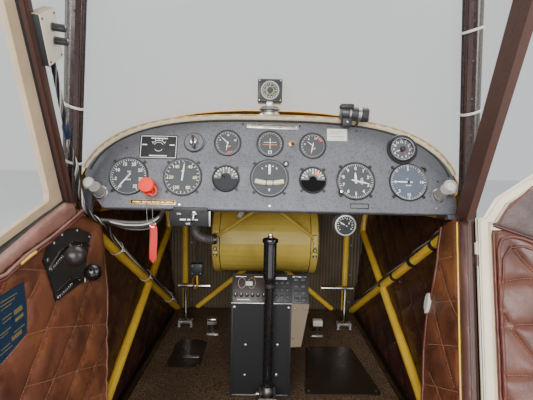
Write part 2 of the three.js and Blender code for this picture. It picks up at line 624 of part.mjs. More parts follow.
// Cream roll round the panel's arch, on a strip behind the panel's edge
const ROLL_R = 9;
const rollPath = panelArch(0.3, Math.PI - 0.3, 30, 390, 200);
const ROLL_BACK = -14;
const rollRings = rollPath.map(([x, y], i) => {
  const [before, after] = [rollPath[Math.max(i - 1, 0)], rollPath[Math.min(i + 1, rollPath.length - 1)]];
  const out = new THREE.Vector2(after[1] - before[1], before[0] - after[0]).normalize();
  const ring = Array.from({ length: 12 }, (_, j) => {
    const angle = 2 * Math.PI * j / 12 - Math.PI / 2;
    return [ROLL_R * Math.sin(angle), ROLL_R * Math.cos(angle)];
  });
  return ring.map(([away, depth]) => vec(x + out.x * away, y + out.y * away, ROLL_BACK + depth));
});
const stripPath = (inset) => panelArch(0.3, Math.PI - 0.3, 30, 390 - inset, 200 - inset);
const stripGrid = (depth) => [4, 20].map((inset) => stripPath(inset).map(([x, y]) => vec(x, y, depth)));
const strip = sheet(stripGrid(-PANEL_SHEET - GAP), stripGrid(-PANEL_SHEET - GAP - 3));
const instrumentClear = INSTRUMENTS.map(([, across, up, radius]) => (
  rod(vec(across, up, -40), vec(across, up, 2), radius - BODY_STEP + 1, HOLE_SIDES)));
const tabClear = [-1, 1].map((side) => box([side * 372 - 10, -12, -15], [side * 372 + 10, 51, 0]));
add('rim_roll', cut(union([loft(rollRings), strip]), [...instrumentClear, ...tabClear]), CREAM(), panel);

// Things on and under the panel
const compassBase = rod(vec(0, 90, 713), vec(0, 112, 713), 24, 24)
  .subtract(box([-30, 80, 680], [30, 120, COWL_CREST[0] - 0.4]));
add('compass', union([compassBase, box([-26, 84, 734], [26, 118, 784])]), BLACK());

const lampCentre = vec(174, 38, 713);
const lampFoot = box([165, 36, 676], [183, 49.5, 705]);
const lamp = rod(lampCentre.clone().setX(144), lampCentre.clone().setX(204), 14.5, 16);
const panelPlate = solidOf(panelSheet).transform(toPanel.clone().invert().elements);
add('rim_lamp', cut(union([lamp, lampFoot]), [panelPlate.translate([0, 0, 0.3]), panelPlate.translate([0, -0.3, 0])]), BLACK());

const gaugeDial = rod(vec(157, 14, 479), vec(157, 58, 479), 23, HOLE_SIDES);
const gaugeBracket = box([150, 18, 480], [186, 21, PANEL_Z - 9.5]);
add('lower_gauge', union([gaugeDial, gaugeBracket]), ALUMINIUM());

// Safety cap on the panel's face, its chain and streamer
const CAP = [-247.7, 42];
const capBody = union([rod(vec(...CAP, GAP), vec(...CAP, 7), 7, 12), rod(vec(...CAP, 5.5), vec(...CAP, 24), 14.5, 16, 12)]);
const capWorld = capBody.transform(toPanel.clone().invert().elements);
const STREAMER_X = -231;
const chain = rod(vec(-244, -6, 548), vec(STREAMER_X - 2, -16, 480), 1.5, 6);
const streamer = box([STREAMER_X - 8, -17, 403], [STREAMER_X + 8, -15, 482]);
add('safety_cap', union([capWorld, chain, streamer]), paint(0xd8401c, 0.5, 0));

// Wiring: from the intercom box down the left post, along the crossing tube, with a loop under the panel
const trussPoint = (y, inboard) => {
  const z = lerp(492, LONGERON_Z + 14, y / (FRAME_FRONT_Y - 6));
  return vec(-lowerPlane(z) + inboard, y, z + 6);
};
const braceFoot = vec(-389, ...BRACE_FOOT);
const braceAlong = vec(-ROOF_HALF, BRACE_TOP_Y, ROOF_Z).sub(braceFoot).normalize();
const braceIn = vec(1, 0, 0).addScaledVector(braceAlong, -braceAlong.x).normalize();
const braceFront = braceAlong.clone().cross(braceIn);
if (braceFront.y < 0) braceFront.negate();
const onBrace = (along, front, inward) => braceFoot.clone().addScaledVector(braceAlong, along)
  .addScaledVector(braceFront, front).addScaledVector(braceIn, inward);
const CABLE_OFF = POST_R + 5.4;
const besidePost = (z) => vec(-upperPlane(z) + CABLE_OFF * 0.85, screenPostY(z) - CABLE_OFF * 0.53, z);
const cableRoute = [
  onBrace(271, 20, 17), onBrace(238, 34, 17), besidePost(690), besidePost(645), besidePost(600), besidePost(560),
  vec(-364, -30, 528), vec(-358, -16, 500), vec(-352, 12, 482), vec(-356, 60, 462), trussPoint(120, 20),
  trussPoint(300, 20), trussPoint(480, 20), trussPoint(600, 22),
];
const loomRoute = [
  vec(-350, 16, 482), vec(-330, 34, 474), vec(-300, 40, 468), vec(-262, 40, 470), vec(-236, 36, 484), vec(-222, 32, 504),
];
add('wiring', union([cable(cableRoute, 4.5, 60), cable(loomRoute, 8, 16)]), BLACK());

// The intercom box lies along the left brace: reach along it, then width and depth
const INTERCOM = { from: 269.5, to: 340, width: 45.7, depth: 16, front: 20, inward: 16 };
const intercom = bar(onBrace(INTERCOM.from, INTERCOM.front, INTERCOM.inward),
  onBrace(INTERCOM.to, INTERCOM.front, INTERCOM.inward), INTERCOM.width, INTERCOM.depth, braceIn);
add('intercom_box', cut(intercom, [braceSolid(-1, GAP), cable(cableRoute, 4.5 + GAP, 60)]), CREAM());

// Fuel tank across the footwell, in two straps hung from the firewall and braced to a spine
const TANK_Y = 548;
const TANK_Z = 345;
const TANK_R = 118;
const TANK_HALF = 176;
const TANK_X = -5;
const turnAcross = (solid) => solid.rotate([0, 0, 90]);
const tankOutline = [[0, -TANK_HALF], [TANK_R - 10, -TANK_HALF], [TANK_R - 3, -TANK_HALF + 3], [TANK_R, -TANK_HALF + 8],
  [TANK_R, TANK_HALF - 8], [TANK_R - 3, TANK_HALF - 3], [TANK_R - 10, TANK_HALF], [0, TANK_HALF]];
add('fuel_tank', turnAcross(lathe(tankOutline, 36)).translate([TANK_X, TANK_Y, TANK_Z]), YELLOW());

const STRAP_X = 160;
const STRAP_WIDE = 28;
const straps = [-1, 1].flatMap((side) => {
  const low = TANK_X + side * STRAP_X - STRAP_WIDE / 2;
  const ring = lathe([[TANK_R + GAP, 0], [TANK_R + GAP + 3, 0], [TANK_R + GAP + 3, STRAP_WIDE], [TANK_R + GAP, STRAP_WIDE],
    [TANK_R + GAP, 0]], 36);
  return [
    turnAcross(ring).translate([low + STRAP_WIDE, TANK_Y, TANK_Z]),
    box([low, TANK_Y + TANK_R + 1, TANK_Z - 22], [low + STRAP_WIDE, FRONT_Y - GAP, TANK_Z + 22]),
    box([low + 8, TANK_Y - TANK_R - 15, TANK_Z - 4], [low + STRAP_WIDE - 8, TANK_Y - TANK_R - 1, TANK_Z + 34]),
  ];
});
const spineZ = 486;
const spine = rod(vec(0, 396, spineZ), vec(0, FRAME_FRONT_Y - 10, spineZ), 7, 10);
const rods = [-1, 1].map((side) => (
  rod(vec(TANK_X + side * STRAP_X, TANK_Y - TANK_R - 8, TANK_Z + 22), vec(0, 398, spineZ), 5, 8)));
add('tank_mount', cut(union([...straps, spine, ...rods]), [tubes(firewallRuns, GAP)]), YELLOW());

// Radio console, with the narrow unit and its gusset on the right
const CONSOLE = { left: -86, right: 60, front: 110, knee: 273, back: 330, top: 332, lean: 150, rear: 258 };
const consoleOutline = [[CONSOLE.front, FLOOR_TOP + GAP], [CONSOLE.front, CONSOLE.knee], [CONSOLE.lean, CONSOLE.top],
  [CONSOLE.back, CONSOLE.rear], [CONSOLE.back, FLOOR_TOP + GAP]];
const narrowOutline = [[CONSOLE.front + 1, 250], [CONSOLE.front + 1, CONSOLE.knee], [CONSOLE.lean, CONSOLE.top - 2],
  [CONSOLE.back - 60, CONSOLE.rear + 20], [CONSOLE.back - 60, 250]];
const gussetShape = shapeOf([[58, 275], [101, 275], [60, 167]]);
const gusset = new THREE.ExtrudeGeometry(gussetShape, { depth: 3, bevelEnabled: false });
gusset.rotateX(Math.PI / 2);
gusset.translate(0, CONSOLE.front + 5, 0);
add('radio_console', union([profile(consoleOutline, CONSOLE.left, CONSOLE.right), profile(narrowOutline, 58, 101),
  solidOf(gusset)]), BLACK());

// Throttle quadrant on the left lining, with two levers
const quadrantFace = liningInner - GAP;
const quadrantOutline = [[-158, 441], [-137, 468], [-92, 479], [-39, 475], [8, 454], [-1, 441], [-46, 371], [-139, 367],
  [-151, 422]];
const quadrantPlate = sidePlate(quadrantOutline, -1, quadrantFace - 4, quadrantFace);
const quadrantX = (z, inboard) => -lowerPlane(z) - quadrantFace + inboard;
// Columns: the knob's Y and Z, its radius, the lever's foot in Y and Z
const LEVERS = [
  [-157, 450, 17.5, -84, 446],
  [-106, 408, 15.5, -66, 384],
];
const KNOB_INBOARD = 54;
const levers = LEVERS.flatMap(([y, z, r, footY, footZ]) => {
  const foot = vec(quadrantX(footZ, 5), footY, footZ);
  const knob = vec(quadrantX(z, KNOB_INBOARD), y, z);
  return [rod(foot, knob, 3.5, 8), ball(knob, r, 16)];
});
add('throttle_quadrant', union([quadrantPlate, ...levers]), BLACK());

// Heel brakes, each on its own foot on the floor
const BRAKE_X = 174;
const BRAKE_Y = 446;
for (const [side, end] of [[-1, 'left'], [1, 'right']]) {
  const x = side * BRAKE_X;
  add(`heel_brake_${end}`, union([
    box([x - 17, BRAKE_Y - 14, FLOOR_TOP + GAP], [x + 17, BRAKE_Y + 14, FLOOR_TOP + 7]),
    rod(vec(x, BRAKE_Y, FLOOR_TOP + 4), vec(x, BRAKE_Y - 14, 86), 5.5, 10),
    box([x - 15, BRAKE_Y - 24, 76], [x + 15, BRAKE_Y - 8, 94]),
  ]), ALUMINIUM());
}

// Rudder pedals, each on the pin of its floor bracket
for (const [side, name] of [[-1, 'pedal_left'], [1, 'pedal_right']]) {
  const x = side * STEM_X;
  const hub = rod(vec(x - 14, PEDAL_Y, PEDAL_Z), vec(x + 14, PEDAL_Y, PEDAL_Z), SHAFT_R + 5, 16)
    .subtract(rod(vec(x - 20, PEDAL_Y, PEDAL_Z), vec(x + 20, PEDAL_Y, PEDAL_Z), SHAFT_R + 0.6, 16));
  const stem = rod(vec(x, PEDAL_Y, PEDAL_Z + 9), vec(x, PEDAL_Y, 180), 7, 12);
  const foot = rod(vec(side * 302, PEDAL_Y, 180), vec(side * 192, PEDAL_Y, 180), 7.5, 12);
  add(name, union([hub, stem, foot]), CHROME());
}

// Control stick: a torque tube that rolls in the floor bearings, and the stick in its fork
const forkEars = [-1, 1].map((side) => {
  const x = STICK_X + side * 17;
  const ear = box([x - 2.5, 50, PIVOT_Z - 11], [x + 2.5, STICK_Y + 10, PIVOT_Z + 11]);
  return ear.subtract(rod(vec(x - 10, STICK_Y, PIVOT_Z), vec(x + 10, STICK_Y, PIVOT_Z), 5, 12));
});
const torqueTube = rod(vec(STICK_X, BEARINGS[0] - 14, PIVOT_Z), vec(STICK_X, 50, PIVOT_Z), TORQUE_R, 16);
const yoke = box([STICK_X - 19.5, 44, PIVOT_Z - 11], [STICK_X + 19.5, 54, PIVOT_Z + 11]);
const collars = BEARINGS.map((y) => rod(vec(STICK_X, y - 13, PIVOT_Z), vec(STICK_X, y - 8.4, PIVOT_Z), TORQUE_R + 4, 16));
add('stick_mount', union([torqueTube, yoke, ...forkEars, ...collars]), ALUMINIUM());

const SHAFT = 11.1;
const stickFoot = vec(STICK_X, STICK_Y, PIVOT_Z);
const at = (z) => stickFoot.clone().setZ(z);
const stickParts = [
  rod(vec(STICK_X - 13.5, STICK_Y, PIVOT_Z), vec(STICK_X + 13.5, STICK_Y, PIVOT_Z), 9, 12),
  rod(vec(STICK_X - 22, STICK_Y, PIVOT_Z), vec(STICK_X + 22, STICK_Y, PIVOT_Z), 4.5, 12),
  rod(at(PIVOT_Z + 4), at(345), SHAFT, 16),
  rod(at(337), at(425), 14.5, 16, 15.5),
  rod(at(423), at(433), 18.5, 16, 17),
  rod(at(432), at(446), 6, 12, 4.5),
];
add('control_stick', union(stickParts), BLACK());

// Right door, modelled closed and then swung open about its hinge line
const doorTurn = new THREE.Matrix4().makeTranslation(...hingePoint(0).toArray())
  .multiply(new THREE.Matrix4().makeRotationAxis(postDirection, rad(DOOR_OPEN)))
  .multiply(new THREE.Matrix4().makeTranslation(...hingePoint(0).negate().toArray()));
const swing = (solid) => solid.transform(doorTurn.elements);
const EDGE_AFT = 15.3;
const EDGE_STEP = 9;
const DOOR_LOW = 52;
const DOOR_TOP = 1026;
const DOOR_REAR = -622;
const DOOR_INNER = 1;
const DOOR_OUTER = 19;
const DOOR_MIDDLE = (DOOR_INNER + DOOR_OUTER) / 2;
const WAIST_SEAM = 0.3;
const frontEdge = (z, inset) => [postLineY(z) - EDGE_AFT - inset, z];
const SLANT_AHEAD = 14;
const CLEAR_OF_POST = [[-42, 512], [-47.5, 552]];
const slantEdge = (z, inset) => [braceY(z) + SLANT_AHEAD - inset, z];
const doorLower = (inset, low, top = SILL_Z + 0.5) => [frontEdge(low, inset), [DOOR_REAR + inset, low],
  [DOOR_REAR + inset, top], frontEdge(top, inset)];
const doorUpper = (inset, top, low = SILL_Z) => [frontEdge(low, inset),
  ...CLEAR_OF_POST.map(([y, z]) => [y - inset, z]), slantEdge(top, inset * 1.2),
  [DOOR_REAR + inset, top], [DOOR_REAR + inset, low]];
const doorHole = (inset) => [slantEdge(640, 92 + inset), slantEdge(985 - inset, 92 + inset),
  [DOOR_REAR + 44 + inset, 985 - inset], [DOOR_REAR + 44 + inset, 640]];
const doorKnuckles = HINGE_HEIGHTS.flatMap((z) => {
  const low = hingePoint(z).addScaledVector(postDirection, KNUCKLE + 1);
  const high = low.clone().addScaledVector(postDirection, KNUCKLE);
  const middle = low.clone().addScaledVector(postDirection, KNUCKLE / 2);
  const edge = middle.clone().add(vec(0, -14, 0));
  return [rod(low, high, KNUCKLE_R, 12), bar(middle, edge, 6, KNUCKLE - 8, postDirection)];
});
// The outer half of the door starts a step behind its inner half, so that its corner clears the post.
// It laps into the inner half, and its window opening is larger by a rebate.
const REBATE = 2;
const doorHalves = [
  [0, DOOR_INNER, DOOR_MIDDLE, 0], [EDGE_STEP, DOOR_MIDDLE - REBATE, DOOR_OUTER, REBATE],
].flatMap(([inset, inner, outer, rebate]) => [
  sidePlate(doorLower(inset, DOOR_LOW, SILL_Z - WAIST_SEAM), 1, inner, outer, lowerPlane),
  sidePlate(doorUpper(inset, DOOR_TOP, SILL_Z + WAIST_SEAM), 1, inner, outer, upperPlane, [doorHole(-rebate)]),
]);
// A spine inside the leaf joins its lower and upper panels behind the seam at the waist
const waistSpine = sidePlate([frontEdge(SILL_Z - 8, 16), [DOOR_REAR + 16, SILL_Z - 8], [DOOR_REAR + 16, SILL_Z + 8],
  frontEdge(SILL_Z + 8, 26)], 1, DOOR_INNER + 3, DOOR_OUTER - 3, lowerPlane);
const knuckleNotches = HINGE_HEIGHTS.map((z) => {
  const low = hingePoint(z).addScaledVector(postDirection, -3);
  return rod(low, low.clone().addScaledVector(postDirection, KNUCKLE + 3.5), KNUCKLE_R + 3, 12);
});
const doorShell = union([cut(union([...doorHalves, waistSpine]), knuckleNotches), ...doorKnuckles]);
add('door_shell', swing(doorShell), CREAM());
const THICK_LINING_TOP = 498;
const doorLining = union([
  sidePlate(doorLower(14, DOOR_LOW + 14, THICK_LINING_TOP), 1, DOOR_INNER - 6, DOOR_INNER - GAP, lowerPlane),
  sidePlate(doorLower(14, DOOR_LOW + 14), 1, DOOR_INNER - 1.8, DOOR_INNER - GAP, lowerPlane),
  sidePlate(doorUpper(14, 626), 1, DOOR_INNER - 1.8, DOOR_INNER - GAP, upperPlane),
]);
add('door_lining', swing(doorLining), LEATHER());
add('door_window', swing(sidePlate(doorHole(GAP), 1, 3, 3 + GLASS, upperPlane)), clearSheet());

export default model;
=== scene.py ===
# Forward cockpit section of a high-wing light aircraft: materials, fine pieces, light and camera.
# Lengths are in millimetres in the same frame as the part, and become metres where a mesh is made.

import math

import bmesh
import bpy
import numpy
from mathutils import Matrix, Vector, noise
from mathutils.geometry import delaunay_2d_cdt


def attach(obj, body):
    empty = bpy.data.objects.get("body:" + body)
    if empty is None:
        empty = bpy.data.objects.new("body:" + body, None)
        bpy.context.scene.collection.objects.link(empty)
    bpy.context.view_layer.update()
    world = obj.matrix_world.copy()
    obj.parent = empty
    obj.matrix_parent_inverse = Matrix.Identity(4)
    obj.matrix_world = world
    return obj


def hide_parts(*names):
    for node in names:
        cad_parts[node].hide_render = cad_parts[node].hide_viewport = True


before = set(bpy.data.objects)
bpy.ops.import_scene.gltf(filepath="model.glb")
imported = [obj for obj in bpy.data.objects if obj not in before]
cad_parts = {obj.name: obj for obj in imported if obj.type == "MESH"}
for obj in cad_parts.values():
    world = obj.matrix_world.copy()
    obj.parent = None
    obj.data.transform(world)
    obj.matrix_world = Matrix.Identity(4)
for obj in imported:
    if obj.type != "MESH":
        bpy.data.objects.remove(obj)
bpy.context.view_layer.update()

MM = 0.001

# The photograph's viewpoint
IMAGE_WIDTH = 533
FOCAL_PIXELS = 370
CAMERA_AT = (-14, -744, 606)
CAMERA_PITCH = 5.7
CAMERA_YAW = -0.5
CAMERA_ROLL = 1.2
SENSOR = 36

# Sizes repeated from the part
LONGERON_Z = 16
FLOOR_HALF = 343
SILL_Z = 505
SILL_HALF = 391
ROOF_Z = 1050
ROOF_HALF = 306
FLOOR_TOP = 36
PANEL_Z = 512
PANEL_TILT = 16
POST_TOP_Y = -20
POST_FOOT_Y = -200
SCREEN_TOP_Y = -128
BRACE_FOOT = (-40, 518)
BRACE_TOP_Y = -378
TANK_Y = 548
TANK_Z = 345
TANK_R = 118
DOOR_OPEN = 70
HINGE_AFT = 13.5
HINGE_OUT = 10
LEAF_EDGE = 15.3
RIM_HALF = 390
RIM_RISE = 200


def lower_plane(z):
    return FLOOR_HALF + (SILL_HALF - FLOOR_HALF) * (z - LONGERON_Z) / (SILL_Z - LONGERON_Z)


def upper_plane(z):
    return SILL_HALF + (ROOF_HALF - SILL_HALF) * (z - SILL_Z) / (ROOF_Z - SILL_Z)


def lerp(a, b, t):
    return a + (b - a) * t


def smooth(t):
    t = min(max(t, 0), 1)
    return t * t * (3 - 2 * t)


def post_y(z):
    return lerp(POST_FOOT_Y, POST_TOP_Y, (z - LONGERON_Z) / (SILL_Z - LONGERON_Z))


def screen_post_y(z):
    return lerp(POST_TOP_Y, SCREEN_TOP_Y, (z - SILL_Z) / (ROOF_Z - SILL_Z))


def brace_y(z):
    return lerp(BRACE_FOOT[0], BRACE_TOP_Y, (z - BRACE_FOOT[1]) / (ROOF_Z - BRACE_FOOT[1]))


# Camera
pitch, yaw, roll = map(math.radians, (CAMERA_PITCH, CAMERA_YAW, CAMERA_ROLL))
ahead = Vector((math.sin(-yaw) * math.cos(pitch), math.cos(yaw) * math.cos(pitch), -math.sin(pitch)))
right = Vector((math.cos(yaw), math.sin(yaw), 0))
right = (right - ahead * ahead.dot(right)).normalized()
above = right.cross(ahead)
right, above = (right * math.cos(roll) + above * math.sin(roll),
                above * math.cos(roll) - right * math.sin(roll))
camera_data = bpy.data.cameras.new("camera")
camera_data.sensor_width = SENSOR
camera_data.lens = FOCAL_PIXELS / IMAGE_WIDTH * SENSOR
camera_data.clip_start = 0.01
camera = bpy.data.objects.new("camera", camera_data)
camera.matrix_world = Matrix((
    (right.x, above.x, -ahead.x, CAMERA_AT[0] * MM),
    (right.y, above.y, -ahead.y, CAMERA_AT[1] * MM),
    (right.z, above.z, -ahead.z, CAMERA_AT[2] * MM),
    (0, 0, 0, 1),
))
bpy.context.scene.collection.objects.link(camera)
bpy.context.scene.camera = camera


# Materials

def shade(r, g, b):
    """Linear colour of a screen colour given from 0 to 255."""
    def linear(value):
        value /= 255
        return value / 12.92 if value <= 0.04045 else ((value + 0.055) / 1.055) ** 2.4
    return (linear(r), linear(g), linear(b), 1)


class Finish:
    """A material with its nodes at hand; colours are screen colours from 0 to 255."""

    def __init__(self, name, colour, roughness=0.5, metallic=0.0, coat=0.0, specular=0.5):
        self.material = bpy.data.materials.new(name)
        self.material.use_nodes = True
        self.tree = self.material.node_tree
        self.shader = self.tree.nodes["Principled BSDF"]
        self.base = self.colour = shade(*colour)
        for socket, value in (("Base Color", self.base), ("Roughness", roughness), ("Metallic", metallic),
                              ("Specular IOR Level", specular), ("Coat Weight", coat)):
            self.shader.inputs[socket].default_value = value
        self.place = self.tree.nodes.new("ShaderNodeTexCoord").outputs["Object"]
        self.normal = None

    def node(self, kind, result, *inputs, **settings):
        """An output of a new node, each of whose inputs gets a value or a link."""
        node = self.tree.nodes.new("ShaderNode" + kind)
        for name, value in settings.items():
            setattr(node, name, value)
        for socket, value in inputs:
            if isinstance(value, bpy.types.NodeSocket):
                self.tree.links.new(value, node.inputs[socket])
            else:
                node.inputs[socket].default_value = value
        return node.outputs[result]

    def mapped(self):
        return self.node("Mapping", "Vector", ("Vector", self.place))

    def math(self, operation, first, second=0.0):
        return self.node("Math", "Value", (0, first), (1, second), operation=operation)

    def reach(self, x, y, z, vector=None, scale=1 / MM):
        """Millimetres from the part's origin along a direction, or a share of another vector."""
        along = (x * scale, y * scale, z * scale)
        return self.node("VectorMath", "Value", (0, vector or self.place), (1, along),
                         operation="DOT_PRODUCT")

    def noise(self, scale, detail=3, rough=0.55):
        return self.node("TexNoise", "Fac", ("Scale", scale), ("Detail", detail), ("Roughness", rough),
                         ("Vector", self.mapped()))

    def cells(self, scale):
        return self.node("TexVoronoi", "Distance", ("Scale", scale), ("Vector", self.mapped()))

    def bands(self, scale):
        return self.node("TexWave", "Fac", ("Scale", scale), ("Vector", self.place))

    def ramp(self, value, low, high, start=0.0, end=1.0):
        return self.node("MapRange", "Result", ("Value", value), ("From Min", low), ("From Max", high),
                         ("To Min", start), ("To Max", end))

    def tint(self, amount, other):
        """Blends the colour so far towards another, or towards a share of its own, by a varying amount."""
        if isinstance(other, float):
            other = tuple(c * other for c in self.base[:3]) + (1,)
        else:
            other = shade(*other)
        self.colour = self.node("Mix", "Result", ("Factor", amount), ("A", self.colour), ("B", other),
                                data_type="RGBA")
        self.tree.links.new(self.colour, self.shader.inputs["Base Color"])

    def patches(self, noise_values, low, high, amount, colour):
        self.tint(self.ramp(self.noise(*noise_values), low, high, 0, amount), colour)

    def rough(self, scale, detail, low, high):
        self.tree.links.new(self.ramp(self.noise(scale, detail), 0.3, 0.7, low, high),
                            self.shader.inputs["Roughness"])

    def bump(self, height, distance, strength=1.0):
        inputs = [("Strength", strength), ("Distance", distance), ("Height", height)]
        if self.normal is not None:
            inputs.append(("Normal", self.normal))
        self.normal = self.node("Bump", "Normal", *inputs)
        self.tree.links.new(self.normal, self.shader.inputs["Normal"])
        return self


def enamel(name, colour, grime, chipped=0.68, worn=True):
    """Painted steel: grime in clouds, small chips to the primer, faint orange peel."""
    f = Finish(name, colour, 0.35, coat=0.25)
    f.patches((9, 5), 0.45, 0.75, 0.55, grime)
    f.patches((70, 6, 0.7), chipped, chipped + 0.03, 1, (92, 80, 60))
    if worn:
        f.rough(25, 3, 0.25, 0.5)
        f.bump(f.noise(160, 2), 0.0004, 0.3)
    return f


def leather(name, colour, light, dark, highlight_share=0.5):
    """Hide: pebbled grain, lighter patches that are painted highlight, and darker patches that are partly the
    hide's own tone and partly painted shade.
    """
    f = Finish(name, colour, 0.42)
    # Lighter patches in the light colour: painted highlight
    f.patches((7, 4), 0.42, 0.72, highlight_share, light)
    # Darker patches: partly the hide's own tone, partly painted shade
    f.patches((12, 5, 0.6), 0.47, 0.7, 0.8, dark)
    f.tint(f.ramp(f.cells(700), 0.25, 0.6, 0, 0.35), dark)
    f.rough(30, 4, 0.26, 0.5)
    f.bump(f.cells(650), 0.0006, 0.35)
    return f.bump(f.noise(60, 5, 0.6), 0.003, 0.35).material


def plain(name, colour, roughness, scale=120, mottle=0.25, bump=0.0002, coat=0.0, metallic=0.0, specular=0.5):
    """A finish with slight mottling and a fine surface."""
    f = Finish(name, colour, roughness, metallic, coat, specular)
    f.patches((scale * 0.2, 4), 0.4, 0.8, mottle, 0.55)
    f.rough(scale, 3, max(roughness - 0.08, 0.03), roughness + 0.1)
    return f.bump(f.noise(scale, 3), bump, 0.4).material


def crackle():
    """The instrument panel's grey wrinkle paint, darkened towards its rim as painted shade under the roll."""
    f = Finish("panel_paint", (92, 93, 100), 0.46, coat=0.08)
    f.patches((12, 4), 0.4, 0.75, 0.5, (58, 58, 64))
    f.patches((900, 3, 0.7), 0.45, 0.62, 0.6, (120, 121, 128))
    f.patches((240, 3, 0.7), 0.5, 0.62, 0.55, (52, 53, 58))
    f.patches((420, 2), 0.72, 0.76, 1, (160, 160, 160))
    lean, stand = math.sin(math.radians(PANEL_TILT)), math.cos(math.radians(PANEL_TILT))
    across = f.reach(1, 0, 0)
    share = f.math("DIVIDE", across, RIM_HALF)
    climb = f.math("DIVIDE", f.reach(0, lean, stand), RIM_RISE)
    climb = f.math("SUBTRACT", climb, stand * PANEL_Z / RIM_RISE)
    spread = f.math("ADD", f.math("MULTIPLY", share, share), f.math("MULTIPLY", climb, climb))
    # Darker towards the rim and the ends: painted shade under the roll
    f.tint(f.ramp(spread, 0.7, 0.98, 0, 0.6), (40, 40, 43))
    f.rough(40, 3, 0.42, 0.62)
    # Bosses and rods of the two vents stand out of the sheet in plain metal
    height = f.math("SUBTRACT", f.reach(0, -stand, lean), lean * PANEL_Z)
    vent = f.math("MULTIPLY", f.ramp(height, 2.3, 2.8), f.ramp(f.math("ABSOLUTE", across), 318, 321))
    f.tint(vent, (132, 130, 126))
    return f.bump(f.noise(700, 3), 0.0005, 0.5).material


def carpet():
    f = Finish("carpet", (118, 96, 76), 0.95, specular=0.1)
    f.tint(f.ramp(f.cells(260), 0.2, 0.7, 0, 0.85), (44, 32, 24))
    f.patches((330, 3, 0.7), 0.56, 0.64, 0.75, (156, 132, 104))
    f.patches((4, 4), 0.42, 0.7, 0.6, (52, 40, 30))
    f.tint(f.ramp(f.reach(0, 0, 1), FLOOR_TOP + 1.2, FLOOR_TOP + 1.6), (150, 148, 144))
    f.bump(f.cells(260), 0.003, 0.9)
    return f.bump(f.noise(500, 2), 0.001, 0.6).material


def bulkhead():
    f = Finish("firewall_metal", (112, 96, 74), 0.55, 0.1)
    f.patches((5, 4), 0.4, 0.7, 0.7, (54, 45, 34))
    # Darker in the troughs of the corrugations: painted shade in the grooves
    f.tint(f.ramp(f.bands(26), 0.0, 0.35, 0.6, 0.0), (44, 37, 29))
    f.bump(f.bands(26), 0.003, 0.8)
    return f.bump(f.noise(300, 3), 0.0004, 0.4).material


def skin(name, sideways):
    """Cream outside, and dark brown painted shade on the faces turned to the cabin."""
    f = Finish(name, (228, 216, 186), 0.4)
    f.patches((12, 4), 0.4, 0.8, 0.25, (190, 176, 146))
    facing_in = f.tree.nodes["Texture Coordinate"].outputs["Normal"]
    if sideways:
        inward = f.math("MULTIPLY", f.reach(1, 0, 0, facing_in, 1), f.reach(-1, 0, 0, scale=1))
    else:
        inward = f.math("MULTIPLY", f.reach(0, 0, 1, facing_in, 1), 0.2)
    # Faces turned to the cabin go dark brown: painted shade
    f.tint(f.ramp(inward, 0.08, 0.12), (40, 27, 22))
    return f.bump(f.noise(60, 3), 0.0002, 0.3).material


def frame_right():
    """Yellow enamel, with brown vinyl round the door post."""
    f = enamel("frame_enamel_right", (230, 188, 62), (178, 132, 46), worn=False)
    rise, run = SILL_Z - LONGERON_Z, POST_TOP_Y - POST_FOOT_Y
    size = math.hypot(rise, run)
    off = f.reach(0, rise / size, -run / size)
    gone = (POST_FOOT_Y * rise - LONGERON_Z * run) / size
    near = f.ramp(f.math("ABSOLUTE", f.math("SUBTRACT", off, gone)), 18, 20, 1, 0)
    f.tint(f.math("MULTIPLY", near, f.ramp(f.reach(0, 0, 1), 526, 530, 1, 0)), (62, 38, 31))
    return f.bump(f.noise(160, 2), 0.0004, 0.3).material


def clear(name, colour, alpha):
    f = Finish(name, colour, 0.04, specular=0.6)
    f.shader.inputs["Alpha"].default_value = alpha
    f.material.surface_render_method = "BLENDED"
    return f.material


def metal(name, colour, roughness):
    f = Finish(name, colour, roughness, 1.0)
    f.patches((45, 5, 0.65), 0.5, 0.75, 0.5, 0.45)
    f.rough(90, 4, roughness * 0.7, roughness * 1.5)
    return f.bump(f.noise(540, 2), 0.0001, 0.3).material


YELLOW = enamel("yellow_enamel", (230, 188, 62), (178, 132, 46)).material
TANK_YELLOW = enamel("tank_enamel", (218, 190, 88), (158, 132, 58), 0.74).material
# The floor frame's enamel is dark brown in place of the frame's yellow: painted shade, as the frame under the
# floor lies in darkness
SHADED_ENAMEL = enamel("floor_frame_painted_shade", (50, 38, 28), (30, 22, 17)).material
FRAME_RIGHT = frame_right()
SIDE_SKIN = skin("side_skin", True)
BELLY_SKIN = skin("belly_skin", False)
COWL = enamel("cowl_enamel", (232, 168, 62), (196, 132, 44), 0.8).material
CREAM = plain("cream_paint", (228, 216, 186), 0.4, 60)
ROLL_CREAM = plain("edge_roll", (188, 172, 138), 0.6, 500, 0.5, bump=0.0006)
VINYL = plain("post_vinyl", (46, 22, 16), 0.26, 70, coat=0.15)
MATTE_VINYL = plain("brace_vinyl", (70, 42, 32), 0.55, 260, bump=0.0004)
COVER_VINYL = leather("cover_vinyl", (92, 62, 54), (130, 96, 84), (62, 40, 34), 0.6)
LEATHER = leather("chestnut_leather", (122, 73, 52), (182, 114, 68), (52, 30, 24), 0.65)
# The footwell linings' leather is the cabin leather darkened: painted shade of the deep footwell
SHADED_LEATHER = leather("leather_painted_shade", (66, 35, 29), (96, 56, 44), (34, 18, 15))
DOOR_LEATHER = leather("door_leather", (104, 60, 47), (160, 112, 92), (58, 32, 26))
DOOR_UPPER = leather("door_upper_leather", (70, 40, 34), (100, 64, 54), (46, 26, 22))
PANEL = crackle()
CARPET = carpet()
BULKHEAD = bulkhead()
BLACK = plain("black_plastic", (26, 26, 28), 0.35, 200)
SATIN_BLACK = plain("satin_black", (34, 34, 36), 0.5, 300)
GLOSS_BLACK = plain("gloss_black", (14, 14, 16), 0.22, 60, coat=0.3)
